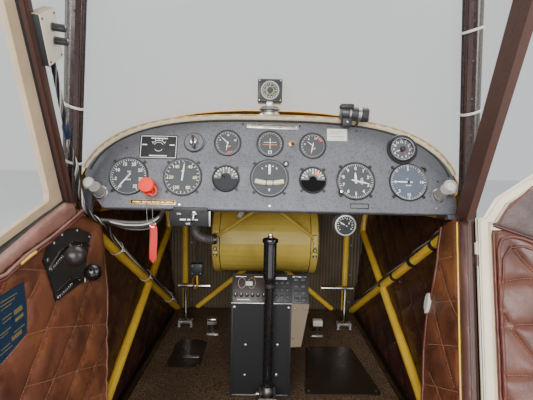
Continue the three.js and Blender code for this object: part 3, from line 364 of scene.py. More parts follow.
# Dial faces are a grey lighter than the real dark faces: partly their own colour, partly painted reflection
DIAL = plain("dial_face_painted_sheen", (62, 65, 69), 0.6, 400, bump=0.00005)
CONSOLE = plain("console_crinkle", (12, 13, 16), 0.6, 500, bump=0.0006)
CONSOLE_FACE = plain("console_face", (54, 42, 37), 0.4, 200)
TAN = plain("tan_metal", (116, 102, 84), 0.6, 90, metallic=0.1)
CHROME = metal("chrome", (215, 215, 214), 0.14)
STEEL = metal("worn_steel", (170, 168, 164), 0.32)
BRASS = metal("brass", (196, 160, 96), 0.35)
WHITE = plain("white_marks", (244, 244, 240), 0.5, 200, 0.1)
PALE = plain("pale_label", (206, 204, 196), 0.55, 200)
KNOB_PALE = plain("pale_knob", (168, 162, 160), 0.3, 120, 0.3)
ORANGE = plain("orange_cap", (240, 52, 4), 0.6, 100)
CORAL = plain("coral_streamer", (208, 48, 46), 0.7, 600, bump=0.0003)
RUBBER = plain("black_rubber", (28, 27, 27), 0.6, 150, bump=0.0004)
BLUE_PLATE = plain("blue_plate", (27, 48, 70), 0.35, 80, 0.5)
RED_PIPING = leather("red_piping", (104, 50, 38), (142, 84, 66), (66, 32, 26))
# The sill band's leather is lighter and greyer than the rest: painted reflection of the bright surroundings
# on it
SILL_LEATHER_SHEEN = leather("sill_leather_painted_sheen", (150, 108, 96), (196, 158, 144), (100, 62, 52), 0.6)
LABEL_MARK = plain("label_marks", (120, 122, 124), 0.6, 200, 0.2)
PLATE_GREY = plain("plate_grey", (96, 97, 100), 0.5, 200, 0.3)
GOLD_EDGE = plain("gold_edge", (150, 126, 84), 0.5, 160, 0.5)
CASE_BLACK = plain("case_black", (40, 41, 44), 0.38, 220, coat=0.2)
GREEN_MARK = plain("green_marks", (190, 206, 160), 0.5, 200, 0.1)
GAUGE_GREY = plain("gauge_grey", (34, 36, 38), 0.8, 120, 0.4)
SLOT_BLACK = plain("slot_black", (10, 10, 11), 0.6)
LEVER_BROWN = plain("lever_brown", (120, 92, 76), 0.5, 120, 0.4)
MATTE_KNOB = plain("matte_knob", (34, 28, 28), 0.36, 90, 0.3)
GOLD_MARK = plain("gold_marks", (112, 100, 66), 0.5, 140, 0.5)
BUTTON = plain("buttons", (44, 44, 47), 0.45, 150, 0.3)
GRIP = plain("grip_rubber", (20, 20, 21), 0.22, coat=0.4)
HEEL_PLATE = plain("heel_plate", (44, 36, 31), 0.34, 60, 0.6, metallic=0.2)
DULL_BLACK = plain("dull_black", (12, 12, 13), 0.6, 200)
WIRE_GREY = plain("grey_wire", (126, 124, 122), 0.45, 200, 0.4)
WIRE_WHITE = plain("white_tie", (216, 212, 202), 0.5, 200)
CONDUIT = plain("braided_hose", (108, 104, 100), 0.5, 500, 0.5, bump=0.0006, metallic=0.2)
CASE_TAN = plain("case_tan", (176, 158, 140), 0.55, 120, 0.4)
CASE_CREAM = plain("case_cream", (216, 208, 190), 0.45, 120, 0.3)
EDGE_BROWN = plain("edge_brown", (56, 30, 24), 0.4, 120, 0.3)
STITCH = plain("thread", (164, 118, 90), 0.7, 800, 0.3)
TAN_TRIM = plain("tan_moulding", (196, 172, 140), 0.45, 120, 0.5)
BEZEL = plain("bezel_enamel", (30, 30, 32), 0.32, 250, coat=0.2)
RING_GREY = plain("inner_ring", (150, 152, 154), 0.4, 200, 0.2)
DARK_MARK = plain("dark_marks", (30, 30, 32), 0.5, 200, 0.1)
WARM_WHITE = plain("aged_marks", (228, 220, 178), 0.5, 200, 0.15)
RED_MARK = plain("red_marks", (208, 52, 54), 0.5, 200, 0.1)
ORANGE_MARK = plain("orange_marks", (224, 134, 96), 0.5, 200, 0.1)
METER_SCALE = plain("meter_scale", (108, 108, 106), 0.7, 200, 0.3, specular=0.2)
MASK_GREY = plain("mask_grey", (58, 59, 62), 0.8, 60, 0.2, bump=0.00005, specular=0.1)
MASK_BLACK = plain("mask_black", (16, 16, 17), 0.8, 60, bump=0.00005, specular=0.1)
PALE_DIAL = plain("pale_dial", (92, 93, 98), 0.7, 200, 0.4, specular=0.2)
BLUE_DIAL = plain("bluish_dial", (82, 90, 104), 0.45, 120, 0.4)
CREAM_TUBE = plain("liquid_tube", (214, 204, 170), 0.2, 60, 0.3, coat=0.6)
GLASS = clear("clear_pane", (225, 232, 230), 0.12)
LAMP_GLASS = clear("dial_glass", (34, 37, 40), 0.07)

# The CAD nodes that keep their own shape or lie under a piece; those not named here are black
NODE_FINISH = (
    (SHADED_ENAMEL, "floor_frame"), (YELLOW, "side_frame_left firewall_frame upper_frame"),
    (FRAME_RIGHT, "side_frame_right"), (BELLY_SKIN, "belly_skin"), (COWL, "cowl_top"), (BULKHEAD, "firewall"),
    (SIDE_SKIN, "outer_skin_left outer_skin_right"), (CREAM, "roof_skin intercom_box door_shell"),
    (VINYL, "windscreen_post_left windscreen_post_right"),
    (MATTE_VINYL, "window_brace_left window_brace_right"),
    (COVER_VINYL, "door_post_cover"), (TAN_TRIM, "side_window_frame"), (CARPET, "floor_board"),
    (GLASS, "windscreen quarter_window_left quarter_window_right side_window_glass door_window"),
    (LEATHER, "cabin_lining_left cabin_lining_right sill_trim_left"), (DOOR_LEATHER, "door_lining"),
    (SHADED_LEATHER, "footwell_lining_left footwell_lining_right"), (PANEL, "instrument_panel"),
    (ROLL_CREAM, "rim_roll"), (STEEL, "lower_gauge heel_brake_left heel_brake_right stick_mount"),
    (ORANGE, "safety_cap"), (RUBBER, "wiring"), (TANK_YELLOW, "fuel_tank tank_mount"),
    (CONSOLE, "radio_console"), (SATIN_BLACK, "throttle_quadrant"), (CHROME, "pedal_left pedal_right"),
    (GLOSS_BLACK, "control_stick"),
)
finish_of = {node_name: finish for finish, node_names in NODE_FINISH for node_name in node_names.split()}
for node_name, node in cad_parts.items():
    node.data.materials.clear()
    node.data.materials.append(finish_of.get(node_name, BLACK))


# Mesh making

def at(x, y, z):
    return Matrix.Translation((x, y, z))


class Build:
    """Collects shapes in millimetres into one mesh, each with its finish."""

    def __init__(self, name, place=None):
        self.name = name
        self.place = place or Matrix.Identity(4)
        self.points, self.faces, self.finishes, self.marks = [], [], [], []

    def add(self, shape, finish, place=None):
        points, faces = shape
        if finish not in self.finishes:
            self.finishes.append(finish)
        place = self.place @ place if place else self.place
        base = len(self.points)
        self.points.extend(place @ Vector(p) for p in points)
        self.faces.extend(tuple(base + i for i in face) for face in faces)
        self.marks.extend([self.finishes.index(finish)] * len(faces))

    def blocks(self, finish, *rows, place=None):
        """Blocks of one finish, each given by its low corner, high corner and bevel."""
        for low, high, bevel in rows:
            self.add(block(low, high, bevel), finish, place)

    def bars(self, finish, low_z, high_z, *rows, place=None):
        """Flat bars between two heights, each given by x, y, x, y."""
        for x0, y0, x1, y1 in rows:
            self.add(block((x0, y0, low_z), (x1, y1, high_z), 0), finish, place)

    def screws(self, finish, radius, height, spots, place=at):
        """Screw heads at spots, each put in place by a function."""
        for spot in spots:
            self.add(screw(radius, height), finish, place(*spot))

    def done(self, body="airframe", slot=None, replaces=(), crease=38):
        mesh = bpy.data.meshes.new(self.name)
        mesh.from_pydata([tuple(p * MM) for p in self.points], [], self.faces)
        for finish in self.finishes:
            mesh.materials.append(finish)
        mesh.polygons.foreach_set("material_index", self.marks)
        mesh.polygons.foreach_set("use_smooth", [True] * len(mesh.polygons))
        work = bmesh.new()
        work.from_mesh(mesh)
        bmesh.ops.recalc_face_normals(work, faces=work.faces)
        work.to_mesh(mesh)
        work.free()
        mesh.set_sharp_from_angle(angle=math.radians(crease))
        piece = bpy.data.objects.new(self.name, mesh)
        bpy.context.scene.collection.objects.link(piece)
        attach(piece, body)
        if replaces:
            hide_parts(*([replaces] if isinstance(replaces, str) else replaces))
        return piece


def spin(degrees, axis="Z"):
    return Matrix.Rotation(math.radians(degrees), 4, axis)


def facing(origin, direction, up=(0, 0, 1)):
    """A place whose Z axis points along a direction and whose Y axis leans towards up."""
    z = Vector(direction).normalized()
    x = Vector(up).cross(z).normalized()
    y = z.cross(x)
    place = Matrix((x, y, z)).transposed().to_4x4()
    place.translation = origin
    return place


def prism(low, high):
    """A closed shape between two outlines that have the same number of points."""
    count = len(low)
    faces = [tuple(range(count)), tuple(range(count, 2 * count))]
    faces += [(i, (i + 1) % count, (i + 1) % count + count, i + count) for i in range(count)]
    return [*low, *high], faces


def to_seat(x, y, z):
    """A place whose Z axis points aft, towards the seat."""
    return facing((x, y, z), (0, -1, 0))


def lathe(profile, sides=32, closed=False):
    """A turned shape about Z from (radius, height) pairs."""
    points, faces, rows = [], [], []
    for radius, height in profile:
        count = 1 if radius < 1e-6 else sides
        rows.append(range(len(points), len(points) + count))
        for i in range(count):
            angle = math.tau * i / sides
            points.append((radius * math.cos(angle), radius * math.sin(angle), height))
    pairs = list(zip(rows, rows[1:])) + ([(rows[-1], rows[0])] if closed else [])
    for low, high in pairs:
        for i in range(sides):
            corners = [low[i % len(low)], low[(i + 1) % sides % len(low)],
                       high[(i + 1) % sides % len(high)], high[i % len(high)]]
            corners = list(dict.fromkeys(corners))
            if len(corners) > 2:
                faces.append(tuple(corners))
    return points, faces


def ring(inner, outer, low, high, sides=48):
    return lathe([(inner, low), (outer, low), (outer, high), (inner, high)], sides, closed=True)


def disc(radius, low, high, sides=32, edge=0.0):
    return lathe([(0, low), (radius, low), (radius, high - edge), (radius - edge, high), (0, high)], sides)


def ball(radius, sides=20):
    rows = sides // 2
    return lathe([(radius * math.sin(math.pi * i / rows) if 0 < i < rows else 0,
                   -radius * math.cos(math.pi * i / rows)) for i in range(rows + 1)], sides)


def block(low, high, bevel=0.6, segments=2):
    work = bmesh.new()
    bmesh.ops.create_cube(work, size=1)
    size = [b - a for a, b in zip(low, high)]
    for vert in work.verts:
        vert.co = Vector([a + (c + 0.5) * d for a, c, d in zip(low, vert.co, size)])
    bevel = min(bevel, min(size) * 0.45)
    if bevel > 0:
        bmesh.ops.bevel(work, geom=work.edges[:], offset=bevel, segments=segments, affect="EDGES",
                        profile=0.5)
    work.verts.index_update()
    shape = [tuple(v.co) for v in work.verts], [tuple(v.index for v in f.verts) for f in work.faces]
    work.free()
    return shape


def slab(outline, low, high, bevel=0.0):
    """A plate with the given (x, y) outline, its upper edge chamfered by pulling it in."""
    count = len(outline)
    centre = Vector((sum(p[0] for p in outline) / count, sum(p[1] for p in outline) / count))
    levels = [(low, 0), (high - bevel, 0)] + ([(high, bevel)] if bevel else [])
    points = []
    for z, pull in levels:
        for i, (x, y) in enumerate(outline):
            before, after = Vector(outline[i - 1]), Vector(outline[(i + 1) % count])
            edge = (after - before).normalized()
            inward = Vector((-edge.y, edge.x))
            if inward.dot(centre - Vector((x, y))) < 0:
                inward.negate()
            points.append((x + inward.x * pull, y + inward.y * pull, z))
    faces = [tuple(range(count)), tuple(range(len(points) - count, len(points)))]
    for level in range(len(levels) - 1):
        for i in range(count):
            a, b = level * count + i, level * count + (i + 1) % count
            faces.append((a, b, b + count, a + count))
    return points, faces


def curve(points, steps):
    """Points along a smooth curve through the given ones."""
    points = [Vector(p) for p in points]
    knots = [points[0] * 2 - points[1]] + points + [points[-1] * 2 - points[-2]]
    result = []
    for i in range(steps + 1):
        place = i / steps * (len(points) - 1)
        j = min(int(place), len(points) - 2)
        t = place - j
        a, b, c, d = knots[j:j + 4]
        result.append(0.5 * (2 * b + (c - a) * t + (2 * a - 5 * b + 4 * c - d) * t * t
                             + (3 * b - a - 3 * c + d) * t ** 3))
    return result


def sweep(path, section, up=(0, 0, 1)):
    """A section of (side, lift) pairs carried along a path; section may be a function of the share."""
    path = [Vector(p) for p in path]
    points = []
    lift = Vector(up)
    for i, place in enumerate(path):
        along = (path[min(i + 1, len(path) - 1)] - path[max(i - 1, 0)]).normalized()
        lift = (lift - along * lift.dot(along)).normalized()
        side = along.cross(lift)
        shape = section(i / (len(path) - 1)) if callable(section) else section
        points.extend(place + side * a + lift * b for a, b in shape)
    return rows_shape(points, len(path))


def rows_shape(points, rows, closed=True):
    """Faces over rows of points; closed rows run round and are capped at both ends."""
    count = len(points) // rows
    faces = [(i * count + j, i * count + (j + 1) % count, (i + 1) * count + (j + 1) % count,
              (i + 1) * count + j)
             for i in range(rows - 1) for j in range(count if closed else count - 1)]
    if closed:
        faces += [tuple(range(count)), tuple(range(len(points) - count, len(points)))]
    return points, faces


def oval(width, height, sides=12, x=0, y=0):
    """Corners of an oval, as pairs."""
    return [(x + width * math.cos(math.tau * i / sides), y + height * math.sin(math.tau * i / sides))
            for i in range(sides)]


def round_line(wide, high, x, y, count, start=0, end=math.tau):
    """Pairs along an oval line, both ends included."""
    return [(x + wide * math.cos(t), y + high * math.sin(t)) for t in numpy.linspace(start, end, count)]


def fluted(radius, depth, waves, count):
    """Outline of a knob with flutes."""
    return [((radius + depth * math.cos(waves * t)) * math.cos(t),
             (radius + depth * math.cos(waves * t)) * math.sin(t))
            for t in (math.tau * i / count for i in range(count))]


def tube(path, radius, sides=10, up=(0.02, 0.03, 1)):
    if callable(radius):
        return sweep(path, lambda t: oval(radius(t), radius(t), sides), up)
    return sweep(path, oval(radius, radius, sides), up)


def screw(radius, height=1.2):
    """A domed screw head about Z."""
    profile = [(0, 0), (radius, 0), (radius, height * 0.35), (radius * 0.7, height * 0.85), (0, height)]
    return lathe(profile, 12)


GLYPHS = {}


def glyphs(text, size):
    """Flat characters standing on the XY plane, centred."""
    if text not in GLYPHS:
        letters = bpy.data.curves.new("glyphs", "FONT")
        letters.body = text
        letters.align_x, letters.align_y = "CENTER", "CENTER"
        letters.size = 1
        letters.offset = 0.018
        letters.resolution_u = 2
        holder = bpy.data.objects.new("glyphs", letters)
        bpy.context.scene.collection.objects.link(holder)
        bpy.context.view_layer.update()
        mesh = holder.to_mesh()
        GLYPHS[text] = ([tuple(v.co) for v in mesh.vertices], [tuple(f.vertices) for f in mesh.polygons])
        holder.to_mesh_clear()
        bpy.data.objects.remove(holder)
        bpy.data.curves.remove(letters)
    points, faces = GLYPHS[text]
    return [(x * size, y * size, z) for x, y, z in points], faces


# Instrument panel, in its own plane: X across, Y up the slope, Z towards the seat
TILT = math.radians(PANEL_TILT)
PANEL_PLACE = Matrix((
    (1, 0, 0, 0), (0, math.sin(TILT), -math.cos(TILT), 0), (0, math.cos(TILT), math.sin(TILT), PANEL_Z),
    (0, 0, 0, 1),
))
PANEL_POWER = 2.9


def panel_arch(start, end, steps, half, rise):
    power = 2 / PANEL_POWER
    points = []
    for i in range(steps + 1):
        angle = lerp(start, end, i / steps)
        c, s = math.cos(angle), math.sin(angle)
        points.append((half * math.copysign(abs(c) ** power, c), rise * abs(s) ** power))
    return points


RIM_START = 0.27


def rim_line(steps, wide=1, high=1, z=0, start=RIM_START):
    """The line of the panel's rim as points, scaled from the panel's origin."""
    arch = panel_arch(start, math.pi - start, steps, RIM_HALF, RIM_RISE)
    return [Vector((x * wide, y * high, z)) for x, y in arch]


def mark(length, width, radius, height):
    """An upright bar on a dial, with its outer end at a radius."""
    return block((-width / 2, radius - length, height), (width / 2, radius, height + 0.25), 0)


def needle(length, width, tail, height):
    outline = [(-width / 2, -tail), (width / 2, -tail), (width / 2, length * 0.6), (0, length),
               (-width / 2, length * 0.6)]
    return slab(outline, height, height + 0.5)


# Columns: node, across, up the slope, bezel radius
INSTRUMENTS = {
    "tachometer": (-290.7, 63.8, 40),
    "airspeed_indicator": (-180.4, 64.4, 40),
    "oil_temperature_gauge": (-91.5, 62.9, 28.5),
    "turn_indicator": (-2.3, 65.5, 40),
    "oil_pressure_gauge": (87.1, 63.3, 28.5),
    "altimeter": (175.4, 62.9, 40),
    "climb_indicator": (284, 62.8, 40),
    "upper_gauge_left": (-90.6, 139.2, 28.5),
    "upper_gauge_middle": (-2.1, 139.3, 28.5),
    "upper_gauge_right": (87, 136.9, 28.5),
    "clock": (273.6, 132.5, 27),
}
BODY_STEP = 3
DIAL_Z = 1.8
MARK_Z = DIAL_Z + 0.1
NEEDLE_Z = DIAL_Z + 1.2


class Dial(Build):
    """The case, bezel and dial of one instrument, and the marks on it."""

    def __init__(self, node, thick=3.4, lift=5.0, face=DIAL, screws=True, light_ring=True):
        across, up, radius = INSTRUMENTS[node]
        super().__init__(node + "_case", PANEL_PLACE @ at(across, up, 0))
        self.node = node
        body = radius - BODY_STEP
        self.add(lathe([(0, -60), (body - 4, -60), (body, -55), (body, 0.3)], 40), BLACK)
        self.r = inner = radius - thick
        self.add(lathe([(body, 0.3), (radius - 0.4, 0.3), (radius, 0.9), (radius, lift - 1.6),
                        (radius - 0.6, lift - 0.5),
                        (radius - 1.6, lift), (inner + 0.7, lift - 0.2), (inner, lift - 0.9),
                        (inner - 0.5, DIAL_Z)], 64), BEZEL)
        if light_ring:
            self.add(ring(inner - 0.9, inner - 0.1, lift - 2.2, lift - 1.5, 64), RING_GREY)
        self.add(disc(inner + 0.5, DIAL_Z - 1.6, DIAL_Z, 64), face)
        for turn in (45, 135, 225, 315) if screws else ():
            place = spin(turn) @ at(radius + 3.5, 0, 0)
            self.add(disc(3.6, 0.1, 0.7, 16, 0.3), BEZEL, place)
            self.add(screw(2.5, 1.9), SATIN_BLACK, place)

    def ticks(self, inset, start, end, count, length, width, skip=()):
        for i in range(count + 1):
            if i not in skip:
                angle = lerp(start, end, i / count)
                self.add(mark(length, width, self.r - inset, MARK_Z), WHITE, spin(-angle))

    def numbers(self, radius, start, end, labels, size, finish=None):
        for i, label in enumerate(labels):
            angle = math.radians(lerp(start, end, i / max(len(labels) - 1, 1)))
            self.add(glyphs(label, size), finish or WHITE,
                     at(radius * math.sin(angle), radius * math.cos(angle), MARK_Z + 0.2))

    def word(self, text, size, x, y, z=MARK_Z):
        self.add(glyphs(text, size), WHITE, at(x, y, z))

    def arc(self, inner, outer, start, end, finish, low=MARK_Z, high=MARK_Z + 0.2, steps=8):
        self.add(arc_band(inner, outer, start, end, low, high, steps), finish)

    def needle(self, length, width, tail, angle, finish=None, raised=0):
        self.add(needle(length, width, tail, NEEDLE_Z + raised), finish or WHITE, spin(-angle))

    def hub(self, radius, finish):
        self.add(disc(radius, NEEDLE_Z - 0.8, NEEDLE_Z + 1.1, 20, 0.4), finish)

    def close(self):
        self.done(slot="instrument_black", replaces=self.node)


def arc_band(inner, outer, start, end, low, high, steps=24):
    """Part of a flat ring, from one clockwise angle to another."""
    points, faces = [], []
    for i in range(steps + 1):
        angle = math.radians(lerp(start, end, i / steps))
        for radius in (inner, outer):
            for z in (low, high):
                points.append((radius * math.sin(angle), radius * math.cos(angle), z))
    for i in range(steps):
        a, b = 4 * i, 4 * i + 4
        for j, k in ((0, 1), (1, 3), (3, 2), (2, 0)):
            faces.append((a + j, a + k, b + k, b + j))
    faces += [(0, 1, 3, 2), (4 * steps, 4 * steps + 2, 4 * steps + 3, 4 * steps + 1)]
    return points, faces


def tachometer():
    dial = Dial("tachometer")
    dial.ticks(1.5, 215, 505, 35, 3.2, 0.95)
    dial.ticks(1.5, 215, 505, 7, 5.2, 1.1)
    dial.numbers(dial.r - 10.5, 215, 505, ["0", "5", "10", "15", "20", "25", "30", "35"], 9.4)
    dial.word("100", 5, 0, 9)
    dial.blocks(SATIN_BLACK, ((-9, -9.6, MARK_Z), (9, -5.4, MARK_Z + 0.4), 0.3))
    dial.word("00000", 4.6, 0, -7.5, MARK_Z + 0.5)
    dial.needle(dial.r - 4, 2.6, 7, 219)
    dial.hub(2.6, STEEL)
    dial.close()


def airspeed():
    dial = Dial("airspeed_indicator", thick=3.8)
    dial.ticks(1.5, 22, 372, 26, 3, 0.95, skip=(0, 26))
    dial.ticks(1.5, 22, 372, 13, 5, 1.1, skip=(0, 13))
    dial.numbers(dial.r - 10.5, 35, 325, ["40", "60", "80", "100", "120", "140"], 9.6, WARM_WHITE)
    dial.word("MPH", 3.2, 0, 12)
    dial.needle(dial.r - 5, 2.8, 8, 5)
    dial.hub(2.4, STEEL)
    dial.close()


def small_meter(node, spotted):
    """A small gauge whose scale is a light arc over a dark lower mask."""
    dial = Dial(node, thick=3.2, light_ring=False)
    r = dial.r
    dial.arc(r * 0.36, r - 0.6, -92, 92, METER_SCALE, DIAL_Z - 0.2, DIAL_Z + 0.05, 32)
    mask = MASK_BLACK if spotted else MASK_GREY
    dial.arc(0.2, r * (0.3 if spotted else 0.44), -96, 96, mask, DIAL_Z + 0.1, DIAL_Z + 0.8, 24)
    dial.arc(0.2, r - 0.4, 92, 268, mask, DIAL_Z + 0.1, DIAL_Z + 0.9, 32)
    dial.ticks(1.2, -78, 78, 10, 4.6, 1.7)
    dial.numbers(r * 0.6, -60, 60, "050" if spotted else "0123", 8)
    if spotted:
        dial.arc(r * 0.5, r * 0.78, 15, 62, ORANGE_MARK, DIAL_Z + 0.3, DIAL_Z + 0.45, 10)
    dial.needle(r * 0.8, 1.3, 0, -48, MASK_BLACK)
    dial.close()


def turn_indicator():
    dial = Dial("turn_indicator")
    for text, angle in (("L", -38), ("R", 38)):
        dial.word(text, 6, 24 * math.sin(math.radians(angle)), 26 * math.cos(math.radians(angle)))
    dial.add(slab([(-2, 8), (2, 8), (2.6, 26), (0, 29), (-2.6, 26)], NEEDLE_Z, NEEDLE_Z + 0.8), WHITE)
    for x in (-7, 7):
        dial.add(disc(1.3, MARK_Z, MARK_Z + 0.3, 12), WHITE, at(x, 25, 0))
    tilt = [(x, -9 - 0.0045 * (29 * 29 - x * x) + 2.2, DIAL_Z + 1.6) for x in range(-29, 30, 2)]
    dial.add(tube(tilt, 5.2, 14), CREAM_TUBE)
    dial.add(ball(4.4, 16), GLOSS_BLACK, at(1.2, -10.4, DIAL_Z + 2.4))
    for x in (-6.5, 7.5):
        dial.blocks(SATIN_BLACK, ((x - 0.9, -16.4, DIAL_Z + 1), (x + 0.9, -4.6, DIAL_Z + 7), 0.3))
    dial.bars(WHITE, MARK_Z, MARK_Z + 0.3, (-1.4, -27, 1.4, -22))
    lug = at(33.5, 31, 0)
    dial.add(lathe([(3.2, 0.2), (6.4, 0.2), (6.4, 3.6), (5.4, 4.4), (3.6, 4.4), (3.2, 3.6)], 28,
                   closed=True), BEZEL, lug)
    dial.add(disc(3.3, 0.1, 2.4, 20, 0.8), CHROME, lug)
    dial.close()


def altimeter():
    dial = Dial("altimeter", thick=4.0)
    dial.ticks(1.2, 0, 360, 50, 2.6, 0.6)
    dial.ticks(1.2, 0, 360, 10, 4.6, 1.1)
    dial.numbers(dial.r - 9.5, 0, 324, "0123456789", 9.4)
    dial.arc(10, 16, 60, 120, RING_GREY)
    dial.needle(19, 4.4, 5, -3)
    dial.needle(dial.r - 6, 2.6, 9, 102, raised=0.7)
    dial.hub(2.8, STEEL)
    knob = at(-31, -24, 0)
    dial.add(lathe([(0, 0.2), (6.4, 0.2), (6.4, 2.4), (5, 3), (5, 9), (4.3, 10), (0, 10)], 24), SATIN_BLACK,
             knob)
    dial.add(lathe([(0, 9), (3.2, 9), (3.2, 11.5), (0, 11.8)], 20), CHROME, knob)
    dial.close()


def climb_indicator():
    dial = Dial("climb_indicator", thick=3.2, face=BLUE_DIAL)
    dial.ticks(1.4, 100, 440, 40, 2.8, 0.6)
    dial.ticks(1.4, 90, 450, 8, 5, 1.1, skip=(0,))
    dial.numbers(dial.r - 10, -90, 180, ["0", "5", "10", "15"], 8.4)
    dial.numbers(dial.r - 10, 225, 225, "5", 8.4)
    dial.word("UP", 3.4, -2, 7)
    dial.word("DOWN", 3.4, 0, -7)
    dial.needle(dial.r - 6, 2.6, 8, 271)
    dial.hub(3, SATIN_BLACK)
    lug = at(32.5, 26.5, 0)
    dial.add(lathe([(2.8, 0.2), (6, 0.2), (6, 3.4), (5, 4.2), (3.4, 4.2), (2.8, 3.4)], 28, closed=True),
             BEZEL, lug)
    dial.close()


def upper_gauges():
    left, middle, right = (Dial("upper_gauge_" + name, thick=4.4, screws=False)
                           for name in ("left", "middle", "right"))
    r = left.r
    left.ticks(1.2, -120, 60, 12, 2.4, 0.7)
    left.numbers(r - 7.5, -70, 70, ["0", "10", "20"], 5.2)
    left.arc(r - 5.5, r - 2.2, 150, 182, RED_MARK)
    left.arc(7, 9.4, 135, 205, ORANGE_MARK)
    left.needle(r - 5, 1.5, 3, -48)
    left.needle(r - 6, 1.3, 3, 188)
    left.hub(1.6, WHITE)

    middle.ticks(1.2, -100, 100, 14, 2.2, 0.6)
    middle.bars(ORANGE_MARK, NEEDLE_Z, NEEDLE_Z + 0.5, (-r * 0.62, -3.2, r * 0.62, -2.2))
    middle.bars(WARM_WHITE, NEEDLE_Z, NEEDLE_Z + 0.4, (-0.6, -12, 0.6, 11))
    middle.bars(WHITE, MARK_Z, MARK_Z + 0.3, (-r * 0.55, 2.4, r * 0.55, 3.1))
    middle.blocks(WHITE, ((-3.6, -r + 2.4, MARK_Z), (3.6, -r + 8.8, MARK_Z + 0.5), 0.3))
    middle.bars(DIAL, MARK_Z + 0.4, MARK_Z + 0.7, (-2.2, -r + 3.4, 2.2, -r + 7.4))

    right.ticks(1.2, -130, 60, 12, 2.4, 0.7)
    right.numbers(r - 7.5, -80, 20, ["0", "5", "10"], 5.2)
    right.arc(r - 6, r - 1.4, 28, 62, RED_MARK)
    right.arc(6, 9, 130, 200, ORANGE_MARK)
    right.needle(r - 5, 1.5, 6, 192)
    right.needle(r * 0.6, 1.1, 2, -55)
    for dial in (left, middle, right):
        dial.close()


CLOCK_RING = 31.5


def clock():
    dial = Dial("clock", lift=9, face=PALE_DIAL, screws=False, light_ring=False)
    dial.add(lathe([(24, 0.4), (CLOCK_RING, 0.4), (CLOCK_RING, 5), (CLOCK_RING - 1.4, 6.4),
                    (CLOCK_RING - 3.4, 6.4),
                    (CLOCK_RING - 4.4, 5.4), (26.6, 5.2), (26.2, 8.2), (24, 8.4)], 64, closed=True), BEZEL)
    dial.add(ring(dial.r - 0.8, dial.r + 0.2, 7.6, 8.6, 64), RING_GREY)
    dial.ticks(1, 0, 330, 12, 2.4, 1.0)
    dial.numbers(dial.r - 7, 30, 360, [str(hour) for hour in range(1, 13)], 6.6)
    dial.needle(dial.r - 8, 1.6, 3, 250)
    dial.needle(dial.r - 11, 2, 3, 150, RED_MARK)
    dial.add(lathe([(0, DIAL_Z), (5.2, DIAL_Z), (5.2, 11), (4.2, 12.4), (0, 13)], 24), CASE_BLACK)
    dial.close()


tachometer()
airspeed()
small_meter("oil_temperature_gauge", False)
small_meter("oil_pressure_gauge", True)
turn_indicator()
altimeter()
climb_indicator()
upper_gauges()
clock()

# Leather and other sheets that follow the cabin sides

POST_DIRECTION = Vector((SILL_HALF - FLOOR_HALF, POST_TOP_Y - POST_FOOT_Y, SILL_Z - LONGERON_Z)).normalized()


def hinge_point(z):
    return Vector((lower_plane(z) + HINGE_OUT, post_y(z) - HINGE_AFT, z))


DOOR_TURN = (Matrix.Translation(hinge_point(0)) @ Matrix.Rotation(math.radians(DOOR_OPEN), 4, POST_DIRECTION)
             @ Matrix.Translation(-hinge_point(0)))


def cabin_plane(z):
    return lower_plane(z) if z <= SILL_Z else upper_plane(z)


def resample(line, step, closed=False):
    """Points at about equal steps along a polyline of (y, z) pairs."""
    ends = line[1:] + (line[:1] if closed else [])
    result = []
    for (y0, z0), (y1, z1) in zip(line, ends):
        count = max(1, round(math.hypot(y1 - y0, z1 - z0) / step))
        result += [(lerp(y0, y1, i / count), lerp(z0, z1, i / count)) for i in range(count)]
    return result if closed else result + [line[-1]]


def inside(point, outline):
    y, z = point
    hit = False
    for (y0, z0), (y1, z1) in zip(outline, outline[1:] + outline[:1]):
        if (z0 > z) != (z1 > z) and y < y0 + (z - z0) * (y1 - y0) / (z1 - z0):
            hit = not hit
    return hit


def away(places, lines):
    """Distance of each (y, z) place from the nearest of some polylines."""
    places = numpy.array(places, dtype=float)
    best = numpy.full(len(places), 1e6)
    for line in lines:
        for a, b in zip(line, line[1:]):
            a, b = numpy.array(a, dtype=float), numpy.array(b, dtype=float)
            run = b - a
            share = numpy.clip((places - a) @ run / max(run @ run, 1e-9), 0, 1)
            best = numpy.minimum(best, numpy.linalg.norm(places - a - share[:, None] * run, axis=1))
    return best


